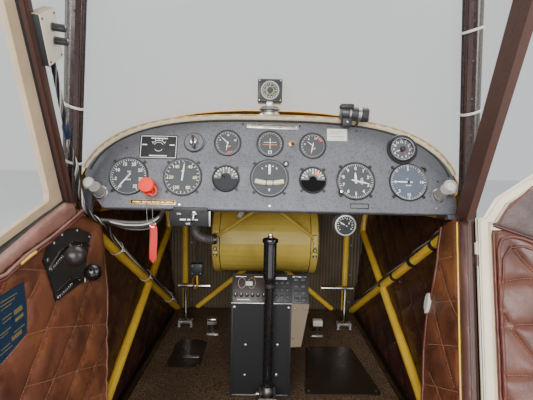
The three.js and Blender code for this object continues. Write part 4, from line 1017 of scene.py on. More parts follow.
class Pad:
    """A stuffed sheet on a cabin side, with creased seams, rolled edges and stitches."""

    def __init__(self, outline, side, base, puff, seams=(), ridges=(), pillow=26, edge=9, step=7, wrinkle=0.8,
                 back=3.6, pressed=()):
        self.pressed = list(pressed)
        self.outline, self.side, self.base, self.puff = outline, side, base, puff
        self.seams, self.ridges, self.pillow, self.edge = list(seams), ridges, pillow, edge
        self.step, self.wrinkle, self.back = step, wrinkle, back

    def heights(self, places):
        border = away(places, [self.outline + self.outline[:1]])
        rise = numpy.sqrt(1 - (1 - numpy.clip(border / self.edge, 0, 1)) ** 2)
        if self.seams:
            near = numpy.clip(away(places, self.seams) / self.pillow, 0, 1)
            rise = rise * (0.1 + 0.9 * numpy.sqrt(1 - (1 - near) ** 2))
        height = self.puff * rise
        for line, width, lift in self.ridges:
            height += (lift * numpy.exp(-(away(places, [line]) / width) ** 2)
                       * numpy.clip(border / self.edge, 0, 1))
        folds = numpy.array([noise.fractal(Vector((y / 34, z / 34, self.side)), 0.8, 2.1, 3)
                             for y, z in places])
        height = numpy.maximum(height + self.wrinkle * folds * numpy.clip(border / self.edge, 0, 1), 0.05)
        for outline in self.pressed:
            gap = away(places, [outline + outline[:1]])
            under = numpy.array([inside(p, outline) for p in places])
            height = numpy.where(under, 0.3, numpy.minimum(height, 0.3 + gap * 0.9))
        return height

    def at(self, y, z, extra=0.0):
        depth = self.base + extra + float(self.heights([(y, z)])[0])
        return Vector((self.side * (cabin_plane(z) - depth), y, z))

    def shape(self):
        rim = resample(self.outline, self.step, closed=True)
        points = list(rim)
        edges = [(i, (i + 1) % len(rim)) for i in range(len(rim))]
        for seam in self.seams:
            points += [p for p in resample(seam, self.step * 0.6) if inside(p, self.outline)]
        low_y, high_y = min(p[0] for p in rim), max(p[0] for p in rim)
        low_z, high_z = min(p[1] for p in rim), max(p[1] for p in rim)
        grid = []
        row = 0
        z = low_z + self.step / 2
        while z < high_z:
            y = low_y + self.step * (0.5 if row % 2 else 1)
            while y < high_y:
                if inside((y, z), self.outline):
                    grid.append((y, z))
                y += self.step
            z += self.step * 0.87
            row += 1
        clear = away(grid, [self.outline + self.outline[:1]] + self.seams)
        points += [p for p, gap in zip(grid, clear) if gap > self.step * 0.45]
        net = delaunay_2d_cdt([Vector(p) for p in points], edges, [], 1, 0.01)
        flat = [(p.x, p.y) for p in net[0]]
        depth = self.heights(flat)
        front = [(self.side * (cabin_plane(z) - self.base - d), y, z) for (y, z), d in zip(flat, depth)]
        rear = [(self.side * (cabin_plane(z) - self.base + self.back), y, z) for y, z in flat]
        count = len(flat)
        faces = [tuple(f) for f in net[2]]
        used = {}
        for face in faces:
            for a, b in zip(face, face[1:] + face[:1]):
                used[(a, b)] = used.get((b, a), 0) + 1
                used[(b, a)] = used[(a, b)]
        walls = [(a, b, b + count, a + count) for (a, b), times in used.items() if times == 1 and a < b]
        return front + rear, faces + [tuple(i + count for i in reversed(f)) for f in faces] + walls

    def stitches(self, line, extra=0.3, pitch=5.2, length=3.4, radius=0.5):
        """Thread along a polyline as short capsules that sink at their ends."""
        shapes = []
        path = resample(line, pitch)
        for a, b in zip(path, path[1:]):
            start = self.at(*a, extra)
            end = self.at(lerp(a[0], b[0], length / pitch), lerp(a[1], b[1], length / pitch), extra)
            middle = (start + end) / 2 - Vector((self.side * radius, 0, 0))
            shapes.append(tube([start, middle, end], radius, 5))
        return shapes

    def beading(self, line, radius, extra=1.5, step=6, sides=8):
        return tube([self.at(y, z, extra) for y, z in resample(line, step)], radius, sides)


def pad_piece(name, pad, finish, replaces=(), body="airframe", place=None, slot="leather_brown", trims=()):
    build = Build(name, place)
    build.add(pad.shape(), finish)
    for shapes, trim_finish in trims:
        for shape in shapes:
            build.add(shape, trim_finish)
    piece = build.done(body, slot, replaces, crease=60)
    return piece


def lines_across(outline, slope, through, spacing, low_y, high_y):
    """Parallel quilting lines over part of an outline."""
    lines = []
    for k in range(-9, 10):
        line = [(y, through[1] + slope * (y - through[0]) + k * spacing)
                for y in numpy.linspace(low_y, high_y, 40)]
        kept = [(float(y), float(z)) for y, z in line if inside((y, z), outline)]
        if len(kept) > 3:
            lines.append([kept[0], kept[-1]])
    return lines


QUADRANT = [(-158, 441), (-137, 468), (-92, 479), (-39, 475), (8, 454), (-1, 441), (-46, 371), (-139, 367),
            (-151, 422)]
PLACARD = [(-270, 420), (-209, 424), (-210, 387), (-218, 350), (-285, 331)]


def left_lining():
    outline = [(56, 476), (51, 322), (30, 244), (-11, 105), (-30, 48), (-627, 48), (-627, 447), (-250, 453),
               (-203, 466), (-136, 479), (-62, 498), (-28, 506), (-8, 494)]
    seams = [
        [(-251, 266), (-197, 311), (-135, 364), (-100, 392)],
        [(-199, 232), (-149, 261), (-87, 302), (-18, 359)],
        [(-145, 195), (-92, 229), (-24, 274), (-3, 286)], [(-95, 161), (-40, 194), (22, 221)],
        [(-60, 108), (-22, 133), (-2, 146)], [(-256, 425), (-241, 442)],
        [(-211, 390), (-185, 406), (-169, 421)],
        [(-276, 333), (-218, 346), (-159, 330), (-88, 300), (30, 251)],
        [(-236, 277), (-177, 251), (-103, 223), (3, 176)], [(-221, 447), (-167, 429), (-120, 410)],
        [(-215, 212), (-150, 182), (-75, 150), (-10, 118)], [(-190, 150), (-120, 118), (-55, 88)],
        [(-250, 215), (-199, 232)], [(-205, 160), (-145, 195)], [(-150, 125), (-95, 161)],
        [(-110, 75), (-60, 108)],
    ]
    aft = [(-250, 440), (-627, 440), (-627, 60), (-205, 60), (-262, 250), (-285, 333), (-262, 425)]
    seams += lines_across(aft, 0.8, (-251, 266), 72, -620, -240)
    seams += lines_across(aft, -0.42, (-276, 333), 82, -620, -240)
    ridges = [([(34, 486), (36, 440), (24, 392), (10, 345)], 22, 8)]
    pad = Pad(outline, -1, 15.4, 5.5, seams, ridges, pressed=[QUADRANT, PLACARD])
    front = [(53, 470), (48, 322), (27, 244), (-14, 105), (-33, 52)]
    threads = [s for seam in seams for s in pad.stitches(seam)]
    pad_piece("cabin_lining_left_leather", pad, LEATHER, "cabin_lining_left",
              trims=[(threads, STITCH), ([pad.beading(front, 2.8, 0.5)], LEATHER)])

    band = Pad([(-627, 442), (-250, 447), (-203, 461), (-136, 474), (-66, 490), (-34, 500), (-48, 522),
                (-76, 527), (-250, 470), (-627, 470)], -1, 16.2, 6.5, edge=11, wrinkle=0.5)
    upper = [(-620, 443), (-252, 449), (-203, 464), (-136, 477), (-21, 507)]
    lower = [(-620, 437), (-252, 443), (-203, 458), (-136, 471), (-21, 501)]
    worn = [(-222, 454), (-203, 459.5), (-186, 463)]
    pad_piece("sill_trim_left_leather", band, SILL_LEATHER_SHEEN, "sill_trim_left", trims=[
        ([pad.beading(upper, 2.6, 6)], SILL_LEATHER_SHEEN),
        ([pad.beading(lower, 2.6, 5)], RED_PIPING),
        ([pad.beading(worn, 2.9, 5.4)], YELLOW),
    ])


def right_lining():
    outline = [(40, 482), (38, 439), (31, 356), (38, 285), (27, 209), (-3, 110), (-24, 48),
               *behind_post(-6, 48, 201), *behind_post(-5, 301, 398, 498), (8, 500)]
    seams = [
        [(24, 397), (-31, 348), (-73, 324)], [(17, 301), (-39, 253), (-103, 200)],
        [(-7, 175), (-45, 163), (-120, 132)],
        [(28, 409), (-22, 428)], [(19, 317), (-61, 351)], [(12, 227), (-102, 281)], [(-4, 146), (-131, 209)],
        [(-40, 75), (-150, 130)], [(-20, 95), (-80, 70)],
    ]
    pad = Pad(outline, 1, 15.4, 5, seams)
    threads = [s for seam in seams for s in pad.stitches(seam, radius=0.7)]
    front = [(37, 478), (35, 439), (28, 356), (35, 285), (24, 209), (-6, 110), (-26, 52)]
    rim = [pad.at(y, z, 7) for y, z in round_line(7, 23, 35, 309, 21)[:20]]
    badge = prism(rim, [p + Vector((8.5, 0, 0)) for p in rim])
    pad_piece("cabin_lining_right_leather", pad, LEATHER, "cabin_lining_right",
              trims=[(threads, STITCH), ([pad.beading(front, 3.4, 0.5)], RED_PIPING), ([badge], PALE)])


def footwell_linings():
    for side, name in ((-1, "left"), (1, "right")):
        outline = [(689, 36), (689, 464), (50, 491), (38, 300), (26, 210), (-8, 90), (-22, 36)]
        seams = (lines_across(outline, 0.72, (300, 250), 86, 0, 686)
                 + lines_across(outline, -0.72, (300, 250), 86, 0, 686))
        pad = Pad(outline, side, -11.6, 6, seams, pillow=30, step=9, wrinkle=0.5, back=3.4)
        pad_piece(f"footwell_lining_{name}_leather", pad, SHADED_LEATHER, f"footwell_lining_{name}",
                  slot="leather_dark")


def behind_post(aft, *heights):
    """Pairs of Y and Z at some distance behind the door post's line."""
    return [(post_y(z) - aft, z) for z in heights]


def leaf_moulding(name, near, far, depth, finish):
    """A rounded moulding along the leaf's front edge, from its foot to the roof."""
    rows = [(lower_plane(z), y, z) for y, z in behind_post(LEAF_EDGE, 56, 130, 210, 290, 370, 450, 504)]
    rows += [(upper_plane(z), y, z) for y, z in ((-44.5, 512), (-50.5, 552))]
    rows += [(upper_plane(z), brace_y(z) + 11, z) for z in (640, 780, 985)]
    path = [Vector((x - (depth - 0.9) / 2, y - (near + far) / 2, z)) for x, y, z in rows]
    half_wide, half_high = (far - near) / 2, (depth + 0.9) / 2
    section = [(half_wide * math.copysign(abs(math.cos(t)) ** 0.55, math.cos(t)),
                half_high * math.copysign(abs(math.sin(t)) ** 0.55, math.sin(t)))
               for t in numpy.linspace(0, math.tau, 17)[:16]]
    build = Build(name, DOOR_TURN)
    build.add(sweep(path, section, up=(-1, 0, 0)), finish)
    build.done("door", "shell_cream")


def door_lining():
    low, waist = 66, 494
    front = LEAF_EDGE + 24
    outline = [*behind_post(front, low, waist), (-84, 503), (-600, 503), (-608, low)]
    seams = [
        [(-99, 404), (-135, 429), (-230, 470)], [(-125, 328), (-140, 342), (-157, 353), (-260, 408)],
        [(-149, 256), (-181, 274), (-300, 330)], [(-110, 373), (-140, 342), (-166, 324), (-260, 262)],
        [(-152, 241), (-163, 232), (-260, 168)], [(-100, 480), (-121, 464), (-190, 420)],
    ]
    aft = [(-262, 500), (-600, 500), (-600, 80), (-262, 80)]
    seams += lines_across(aft, -0.5, (-260, 408), 78, -598, -262)
    seams += lines_across(aft, 0.6, (-260, 262), 82, -598, -262)
    pad = Pad(outline, 1, -0.6, 9, seams, wrinkle=1.2)
    threads = [s for seam in seams for s in pad.stitches(seam)]
    pocket = behind_post(front + 8, 74, 160, 250, 340, 430, 462)
    pocket += [(-82, 482), (-94, 493), (-112, 497), (-150, 496), (-240, 490)]
    mouth = [*behind_post(front + 10, 380), *behind_post(front + 14, 415), *behind_post(front + 16, 450)]
    mouth += [(-100, 474), (-118, 484), (-160, 484), (-240, 476)]
    welt = behind_post(front + 1.5, 68, 150, 250, 350, 450, 490)
    pad_piece("door_lining_leather", pad, DOOR_LEATHER, "door_lining", "door", DOOR_TURN, trims=[
        (threads, STITCH),
        ([pad.beading(pocket, 3.4, 1.5), pad.beading(mouth, 2.6, 1)], RED_PIPING),
        ([pad.beading(welt, 3.0, 0.5)], RED_PIPING),
    ])

    upper = Pad([(-61, 504), (-62, 538), (-82, 590), (-98, 624), (-600, 624), (-600, 504)], 1, -0.6, 2.2,
                wrinkle=0.4)
    rim = [(-62, 506), (-63, 538), (-83, 590), (-98, 622)]
    second = [(-71, 508), (-73, 538), (-94, 590), (-109, 622)]
    foot = [(-63, 504.2), (-598, 504.2)]
    pad_piece("door_upper_leather", upper, DOOR_UPPER, (), "door", DOOR_TURN, slot="vinyl_brown", trims=[
        ([upper.beading(rim, 1.6, 0.2)], RED_PIPING),
        ([upper.beading(second, 1.5, 0.2)], RED_PIPING),
        ([upper.beading(foot, 3.4, 0.6)], DOOR_UPPER),
    ])


def post_cover():
    """Vinyl round the open side of the door post, and the yellow of its tube at the edge."""
    build = Build("door_post_cover_vinyl")
    heights = numpy.linspace(46, 496, 40)
    sides = 28
    out = (Vector((1, 0, 0)) - POST_DIRECTION * POST_DIRECTION.x).normalized()
    fore = POST_DIRECTION.cross(out)
    fore = fore if fore.y > 0 else -fore
    points, edge = [], []
    for z in heights:
        centre = Vector((lower_plane(z), post_y(z), z))
        for i in range(sides + 1):
            angle = lerp(118, 248, i / sides)
            crease = 0.7 * noise.fractal(Vector((angle / 40, z / 30, 3)), 0.8, 2.0, 3)
            radius = 17.5 + crease + (1.0 if angle < 124 or angle > 243 else 0)
            points.append(centre + out * math.cos(math.radians(angle)) * radius
                          + fore * math.sin(math.radians(angle)) * radius)
        edge.append(centre - out * 18.4 + fore * 3.6)
    build.add(rows_shape(points, len(heights), closed=False), COVER_VINYL)
    build.add(tube(edge, 1.7, 8), YELLOW)
    piece = build.done("airframe", "vinyl_brown", "door_post_cover", crease=60)
    thickness = piece.modifiers.new("thickness", "SOLIDIFY")
    thickness.thickness = 0.0025
    thickness.offset = -1


left_lining()
right_lining()
footwell_linings()
door_lining()
# Cream moulding along the leaf's front edge, with a tan seal inside it
leaf_moulding("door_edge_moulding", 3, 17, 2.4, CREAM)
leaf_moulding("door_inner_moulding", 17, 22, 2.2, TAN_TRIM)
post_cover()

# Panel fittings


def panel_fittings():
    build = Build("panel_fittings", PANEL_PLACE)
    tilted = spin(-1.2)
    build.blocks(STEEL, ((-55.5, 172.4, 0.2), (54, 182.6, 1.4), 0.5), place=tilted)
    build.screws(CHROME, 2.1, 1.2, ((-50, 177.5, 1.4), (49, 177.5, 1.4)), lambda *spot: tilted @ at(*spot))
    build.bars(DARK_MARK, 1.4, 1.5, (-31, 178.9, 31, 180.3), (-20, 174.9, 20, 176.3), place=tilted)
    build.blocks(PALE, ((117.5, 149, 0.2), (159.8, 175.5, 0.7), 0.2))
    build.bars(LABEL_MARK, 0.7, 0.8, (124, 168.4, 150, 169.6), (124, 163.9, 143, 165.1),
               (124, 157.4, 153, 158.6))
    build.blocks(DULL_BLACK, ((-273.4, 101.8, 0.2), (-194.8, 153.5, 1.0), 0.3))
    build.bars(WHITE, 1.0, 1.15, (-271, 104, -197, 104.9), (-271, 150.4, -197, 151.3),
               (-271, 104, -270.1, 151.3), (-197.9, 104, -197, 151.3))
    face = at(-234, 127, 1.0)
    for start, end, radius in ((-60, 60, 15), (-60, 60, 11), (120, 240, 9)):
        build.add(arc_band(radius - 0.7, radius, start, end, 0, 0.2, 14), WHITE, face)
    for angle in (-50, -25, 0, 25, 50):
        build.add(mark(4, 0.8, 19, 0), WHITE, face @ spin(-angle))
    build.bars(WHITE, 1.0, 1.15, (-250, 145, -216, 147), (-252, 107.5, -216, 109.5), (-268, 131, -258, 133),
               (-211, 131, -201, 133))
    build.blocks(BRASS, ((-284, 6, 0.2), (-191.5, 16, 1.0), 0.3))
    build.blocks(GLOSS_BLACK, ((-282, 7.6, 0.9), (-193.5, 14.4, 1.15), 0.2))
    build.bars(BRASS, 1.1, 1.25, *((start, 9.8, end, 12.3) for start, end in (
        (-279, -262), (-259, -241), (-238, -224), (-221, -214), (-211, -197))))
    build.blocks(SATIN_BLACK, ((162.8, 5.4, 0.2), (201.5, 16.4, 0.9), 0.3))
    build.bars(PLATE_GREY, 0.85, 1.0, (165, 7.4, 199.3, 14.4))
    build.screws(CHROME, 3, 1.8, ((-183.7, 6.9, 0.2), (-0.9, 7.9, 0.2), (340.1, 9, 0.2)))
    build.screws(SATIN_BLACK, 2.2, 1.4, ((-300, 124, 0.1), (-60, 182, 0.1), (60, 180, 0.1), (180, 172, 0.1),
                                         (346, 66, 0.1)))
    # Selector switch with its pointer
    switch = at(-160.5, 138.6, 0)
    build.add(lathe([(0, 0.2), (21.5, 0.2), (21.5, 4), (20.3, 5.2), (18.6, 5.2), (18, 4), (0, 3.6)], 48),
              BEZEL, switch)
    for i in range(5):
        angle = math.radians(-70 + 35 * i)
        spot = at(14.6 * math.sin(angle), 14.6 * math.cos(angle), 0)
        build.bars(WHITE, 3.8, 4.1, (-1.6, -0.6, 1.6, 0.6), place=switch @ spot)
    build.add(lathe([(0, 3), (10, 3), (10, 7), (8.6, 8.6), (8, 13), (6.6, 14.4), (0, 15)], 32), CHROME,
              switch)
    build.blocks(SATIN_BLACK, ((-2.6, -15.5, 8), (2.6, 11, 17), 1.2), place=switch @ spin(8))
    # Small toggle beside the right upper gauge
    toggle = at(42.7, 141, 0)
    build.add(lathe([(0, 0.2), (6.6, 0.2), (6.6, 2.2), (4, 2.6), (4, 5), (0, 5.4)], 6), BRASS, toggle)
    build.add(tube([(0, 0, 4), (1, -3, 12), (2, -8, 19)], lambda t: lerp(1.8, 2.8, t), 12), SATIN_BLACK,
              toggle)
    # Vent controls
    for (x, y), (base_x, base_y), size in (((-357.3, 41.6), (-344.2, 28.6), 12.5),
                                           ((355.5, 48), (344.6, 36.1), 15.5)):
        base = at(base_x, base_y, 0)
        build.add(lathe([(0, 0.2), (14.6, 0.2), (14.6, 2), (12.5, 4), (12.5, 9), (11, 10.6), (8, 10.6),
                         (7.2, 9), (0, 8.6)], 36), STEEL, base)
        build.add(disc(5.5, 8.5, 9.4, 24), SATIN_BLACK, base)
        stem = [(base_x, base_y, 8), (lerp(base_x, x, 0.6), lerp(base_y, y, 0.6), 20), (x, y, 29)]
        build.add(tube(stem, 3.2, 12), CHROME)
        build.add(slab(fluted(size - 1.3, 0.8, 16, 48), 26, 34, 2.2), KNOB_PALE, at(x, y, 0))
        build.add(lathe([(0, 33.6), (9, 33.6), (8, 35), (0, 35.4)], 28), PALE, at(x, y, 0))
    fitting = at(374, 44, 0)
    build.add(lathe([(0, 0.2), (9, 0.2), (9, 3), (6.4, 4), (6.4, 10), (5, 11.5), (0, 11.5)], 24), BRASS,
              fitting)
    build.done(slot="instrument_black")


def roll_and_seam():
    """The padded cream roll round the panel, with the gold worn into its outer edge."""
    build = Build("rim_roll_cover", PANEL_PLACE)
    path = rim_line(96)
    count = len(path)
    points = []
    for i, place in enumerate(path):
        along = (path[min(i + 1, count - 1)] - path[max(i - 1, 0)]).normalized()
        out = Vector((along.y, -along.x, 0))
        if out.dot(place) < 0:
            out.negate()
        wave = 0.5 * math.sin(i * 2.1) + 0.4 * noise.noise(Vector((i / 3, 0, 0)))
        for k in range(12):
            angle = math.tau * k / 12
            radius = 9.2 + wave * 0.5
            points.append(place + out * radius * math.cos(angle)
                          + Vector((0, 0, -14 + radius * math.sin(angle))))
    build.add(rows_shape(points, count), ROLL_CREAM)
    build.add(tube(rim_line(96, 1.0235, 1.034, -10.5), 2.4, 8, up=(0, 0, 1)), GOLD_EDGE)
    # Black rubber strip between the panel's edge and the roll, standing in for the roll's shadow on the
    # panel: painted shadow
    build.add(tube(rim_line(110, 0.975, 0.953, 0.4), 2.0, 8, up=(0, 0, 1)), RUBBER)
    for i in range(4, count - 4, 3):
        build.add(tube([points[k] + Vector((0, 0, 0.3)) for k in (i * 12 + 2, i * 12 + 26)], 0.5, 5), TAN)
    piece = build.done(slot="case_cream", replaces="rim_roll", crease=60)


def compass():
    build = Build("compass_details")
    build.add(block((-31, 83.4, 739), (23, 118, 789), 2.5, 3), CASE_BLACK)
    build.blocks(SATIN_BLACK, ((-27, 82.2, 743), (19, 83.8, 785), 0.8))
    face = to_seat(-4, 82, 764)
    build.add(ring(17, 20, 0, 1.2, 40), RING_GREY, face)
    for i in range(24):
        build.add(mark(3 if i % 3 else 5, 0.9, 16, 0.4), WARM_WHITE, face @ spin(-15 * i))
    for i, label in enumerate(("N", "3", "6", "E", "12", "15", "S", "21", "24", "W", "30", "33")):
        angle = math.radians(30 * i)
        build.add(glyphs(label, 4.6), GREEN_MARK,
                  face @ at(8.6 * math.sin(angle), 8.6 * math.cos(angle), 0.5))
    build.screws(STEEL, 1.6, 1.2, ((x, 82.4, z) for z in (785, 743) for x in (-27, 19)), to_seat)
    build.blocks(STEEL, ((-12, 84, 728), (4, 112, 742), 2))
    base = at(-4, 101, 712)
    build.add(lathe([(0, 0), (26, 0), (26, 4), (23, 7), (23, 14), (20, 18), (12, 20), (0, 20)], 48), STEEL,
              base)
    build.add(ring(22.6, 24.4, 8, 12, 48), SATIN_BLACK, base)
    build.blocks(CHROME, ((-26, 80, 708), (18, 120, 714), 1.2))
    build.done(slot="instrument_black", replaces="compass")


def rim_lamp():
    build = Build("rim_lamp_details")
    axis = facing((147, 38, 713), (1, 0, -0.07))
    body = [(0, -4), (12.5, -4), (14.3, -1), (14.3, 12), (12.6, 13.5), (12.6, 17), (14.5, 18.5), (14.5, 30),
            (13, 31.5), (13, 38), (15, 40), (15, 52), (13.6, 54), (12, 54), (11.4, 51), (0, 49)]
    build.add(lathe(body, 40), CASE_BLACK, axis)
    for low, high in ((13, 17), (31.5, 38)):
        build.add(ring(12, 13.4, low, high, 40), STEEL, axis)
    build.add(disc(11.6, 49.4, 50.2, 32), LAMP_GLASS, axis)
    build.add(ring(12.2, 15.2, 51.5, 53.8, 40), STEEL, axis)
    build.blocks(CASE_BLACK, ((141, 30, 700), (163, 46, 712), 2))
    build.blocks(SATIN_BLACK, ((146, 28, 686), (166, 50, 702), 2.5))
    build.screws(CHROME, 2.2, 1.2, ((156, 27.8, 694),), to_seat)
    build.blocks(SATIN_BLACK, ((141, 24, 721), (168, 47, 730), 2.5))
    build.add(tube(curve([(176, 46, 703), (182, 52, 694), (170, 57, 684), (152, 58, 680)], 14), 2.2, 8),
              RUBBER)
    build.done(slot="instrument_black", replaces="rim_lamp")


def switch_plate():
    build = Build("switch_plate")
    build.blocks(DULL_BLACK, ((-201, -6, 476), (-121, -3, 507), 0.8))
    build.blocks(STEEL, ((-123, -7, 476), (-119.5, -2, 507), 0.6))
    build.blocks(SATIN_BLACK, ((-196, -3, 500), (-126, 4, 514), 1.5))
    knob = facing((-152, -6, 502), (0, -1, -0.25))
    build.add(lathe([(0, 0), (6, 0), (6, 3), (4.4, 4), (4.4, 6), (0, 6)], 6), CHROME, knob)
    build.add(tube([(0, 0, 5), (0, -3, 13), (0, -8, 20)], lambda t: lerp(2, 3.4, t), 14), CHROME, knob)
    front = to_seat(-161, -6.2, 492)
    for text, x, y in (("ON", -22, 9), ("OFF", -4, -11)):
        build.add(glyphs(text, 5), WHITE, front @ at(x, y, 0))
    build.bars(WHITE, 0, 0.15, (-20, -4, -8, -1), (-5, -4, 1, -1), (4, -4, 16, -1), place=front)
    build.done(slot="instrument_black")


def safety_cap():
    """The cap on the panel with the collar, chains and ring of its streamer."""
    build = Build("safety_cap_cover")
    build.add(lathe([(0, 0.2), (14, 0.2), (14.6, 2), (14.2, 16), (15.4, 18), (15.4, 24.5), (14.2, 26.6),
                     (9, 27.8), (0, 28)], 40),
              ORANGE, PANEL_PLACE @ at(-246.5, 41.4, 0))
    loop = [PANEL_PLACE @ Vector((x, y, 20)) for x, y in round_line(7, 9, -233.5, 30.4, 16, -2.6, 2.2)]
    build.add(tube(loop, 1.7, 8), ORANGE)
    collar = [PANEL_PLACE @ Vector((x, y, 14)) for x, y in round_line(9, 5, -244, 29, 24)]
    build.add(tube(collar, 1.8, 8), CORAL)
    for x, low in ((-249, Vector((-243, -16, 484))), (-237, Vector((-232, -16, 482)))):
        start = PANEL_PLACE @ Vector((x, 30, 12))
        path = [start.lerp(low, i / 17) + Vector((0, -2.5 * math.sin(math.pi * i / 17), 0))
                for i in range(18)]
        for point in path:
            build.add(ball(1.45, 8), CHROME, at(*point))
        build.add(tube(path, 0.4, 5), STEEL)
    build.add(tube([(x, -16, z) for x, z in round_line(5.5, 5.5, -233, 480, 22)], 0.9, 6), CHROME)
    build.done(slot="safety_red", replaces="safety_cap")


def streamer():
    """A woven strip, pointed at its lower end."""
    low, high, half = 401, 482, 7.6
    rows = 26
    points = []
    for i in range(rows + 1):
        z = lerp(high, low, i / rows)
        width = half * (0.55 + 0.45 * smooth(i / 3)) * min(1, (rows - i) / 3 + 0.06)
        sway = 1.6 * math.sin(i / 5)
        for j in range(5):
            x = -232 + lerp(-width, width, j / 4) + 0.3 * sway
            points.append((x, -16.5 + sway * 0.8 + 0.9 * math.cos(j * 1.6 + i / 4), z))
    build = Build("streamer")
    build.add(rows_shape(points, rows + 1, closed=False), CORAL)
    piece = build.done(slot="safety_red", crease=80)
    piece.modifiers.new("thickness", "SOLIDIFY").thickness = 0.0009


def lower_gauge():
    build = Build("lower_gauge_details")
    axis = facing((157, 14, 481), (0, -1, 0.02))
    build.add(lathe([(0, -44), (18, -44), (19, -40), (19, -4), (22.5, -3), (23, 0), (23, 2.5), (21.6, 4),
                     (19, 4.2), (18.2, 2.5), (18, 1)], 56), STEEL, axis)
    build.add(disc(18.2, -0.6, 0.8, 48), GAUGE_GREY, axis)
    for i in range(15):
        build.add(mark(2.4 if i % 2 else 4, 0.7, 16.6, 0.9), WHITE, axis @ spin(130 - 18 * i))
    for label, x in (("0", -8), ("5", 8)):
        build.add(glyphs(label, 5), WHITE, axis @ at(x, 4, 1))
    build.add(needle(13, 1.6, 4, 1.4), WHITE, axis @ spin(60))
    build.add(disc(2, 1, 2.4, 16), SATIN_BLACK, axis)
    build.add(ring(19.5, 24.5, -22, -14, 48), SATIN_BLACK, axis)
    build.blocks(STEEL, ((150, 18, 501), (164, 40, 514), 1.5))
    build.done(slot="bright_metal", replaces="lower_gauge")


# Throttle

def on_left(y, z, inboard):
    """A point over the left side, so far inboard of the quadrant's face."""
    return Vector((-lower_plane(z) + 20.1 + inboard, y, z))


def side_place(y, z):
    """A place on the left side whose Z axis points inboard and whose X axis points forward."""
    return facing(on_left(y, z, 0), (1, 0, 0.098))


def side_slab(outline, low, high):
    """A plate that follows the left side, from one depth to another."""
    return prism(*([(depth - lower_plane(z), y, z) for y, z in outline] for depth in (low, high)))


def throttle():
    build = Build("throttle_details")
    build.add(side_slab(QUADRANT, 16.1, 19.4), SATIN_BLACK)
    build.add(side_slab([(y * 0.975 - 2, 422 + (z - 422) * 0.95) for y, z in QUADRANT], 19.2, 20.1),
              SATIN_BLACK)
    build.screws(STEEL, 3.4, 2, ((-125, 463), (-98, 472), (-45, 470), (-146, 425), (-134, 372), (-2, 450),
                                 (-149, 440), (-60, 380)), side_place)
    for slot in (
        [(-147, 428), (-110, 447), (-64, 455), (-14, 441), (-6, 431), (-40, 438), (-76, 439), (-112, 432),
         (-144, 421)],
        [(-133, 384), (-92, 391), (-41, 379), (-43, 369), (-90, 378), (-130, 371)],
    ):
        build.add(side_slab(slot, 20.05, 20.5), SLOT_BLACK)
        half = len(slot) // 2 + 1
        for edge in (slot[:half], slot[half:]):
            build.add(tube([on_left(y, z, 0.7) for y, z in resample(edge, 4.5)], 1.0, 6), STEEL)
        for y, z in resample(slot[half:], 5.5):
            build.blocks(CHROME, ((-1.3, 0.5, 0.2), (1.3, 4.6, 2.2), 0.4), place=side_place(y, z))
    foot, knob = on_left(-84, 446, 3), on_left(-157, 450, 50)
    bar = [foot.lerp(knob, t) for t in (0, 0.3, 0.6, 0.9)]
    build.add(sweep(bar, [(-1.4, -7.5), (1.4, -7.5), (1.4, 7.5), (-1.4, 7.5)]), LEVER_BROWN)
    build.add(ball(17.4, 40), MATTE_KNOB, at(*knob))
    axis = facing(knob.lerp(foot, 0.3), foot - knob)
    build.add(lathe([(0, -4), (7, -4), (7, 3), (4, 5), (0, 5)], 24), STEEL, axis)
    foot, knob = on_left(-66, 384, 2), on_left(-106, 408, 50)
    build.add(tube([foot, foot.lerp(knob, 0.5), knob], 2.6, 12), CHROME)
    build.add(ball(15.4, 40), GLOSS_BLACK, at(*knob))
    build.done(slot="instrument_black", replaces="throttle_quadrant")


def placard():
    build = Build("side_placard")
    build.add(side_slab(PLACARD, 15.2, 17.2), BLUE_PLATE)
    # Columns: height, start, end, thickness
    for z, start, end, tall in (
        (411, -262, -226, 1.4), (406, -262, -232, 1.4), (401, -262, -240, 1.2), (388, -238, -220, 7),
        (388, -262, -243, 1.4),
        (383, -262, -244, 1.4), (377, -238, -220, 5), (370, -270, -248, 1.4), (366, -270, -254, 1.2),
        (362, -244, -220, 1.6), (355, -250, -228, 6), (350, -272, -254, 1.4), (345, -276, -250, 1.2),
    ):
        bar = [(start, z - tall / 2), (end, z - tall / 2 + 2), (end, z + tall / 2 + 2), (start, z + tall / 2)]
        build.add(side_slab(bar, 17.15, 17.35), GOLD_MARK)
    build.done(slot="bare_metal")


# Console, stick, pedals and tank

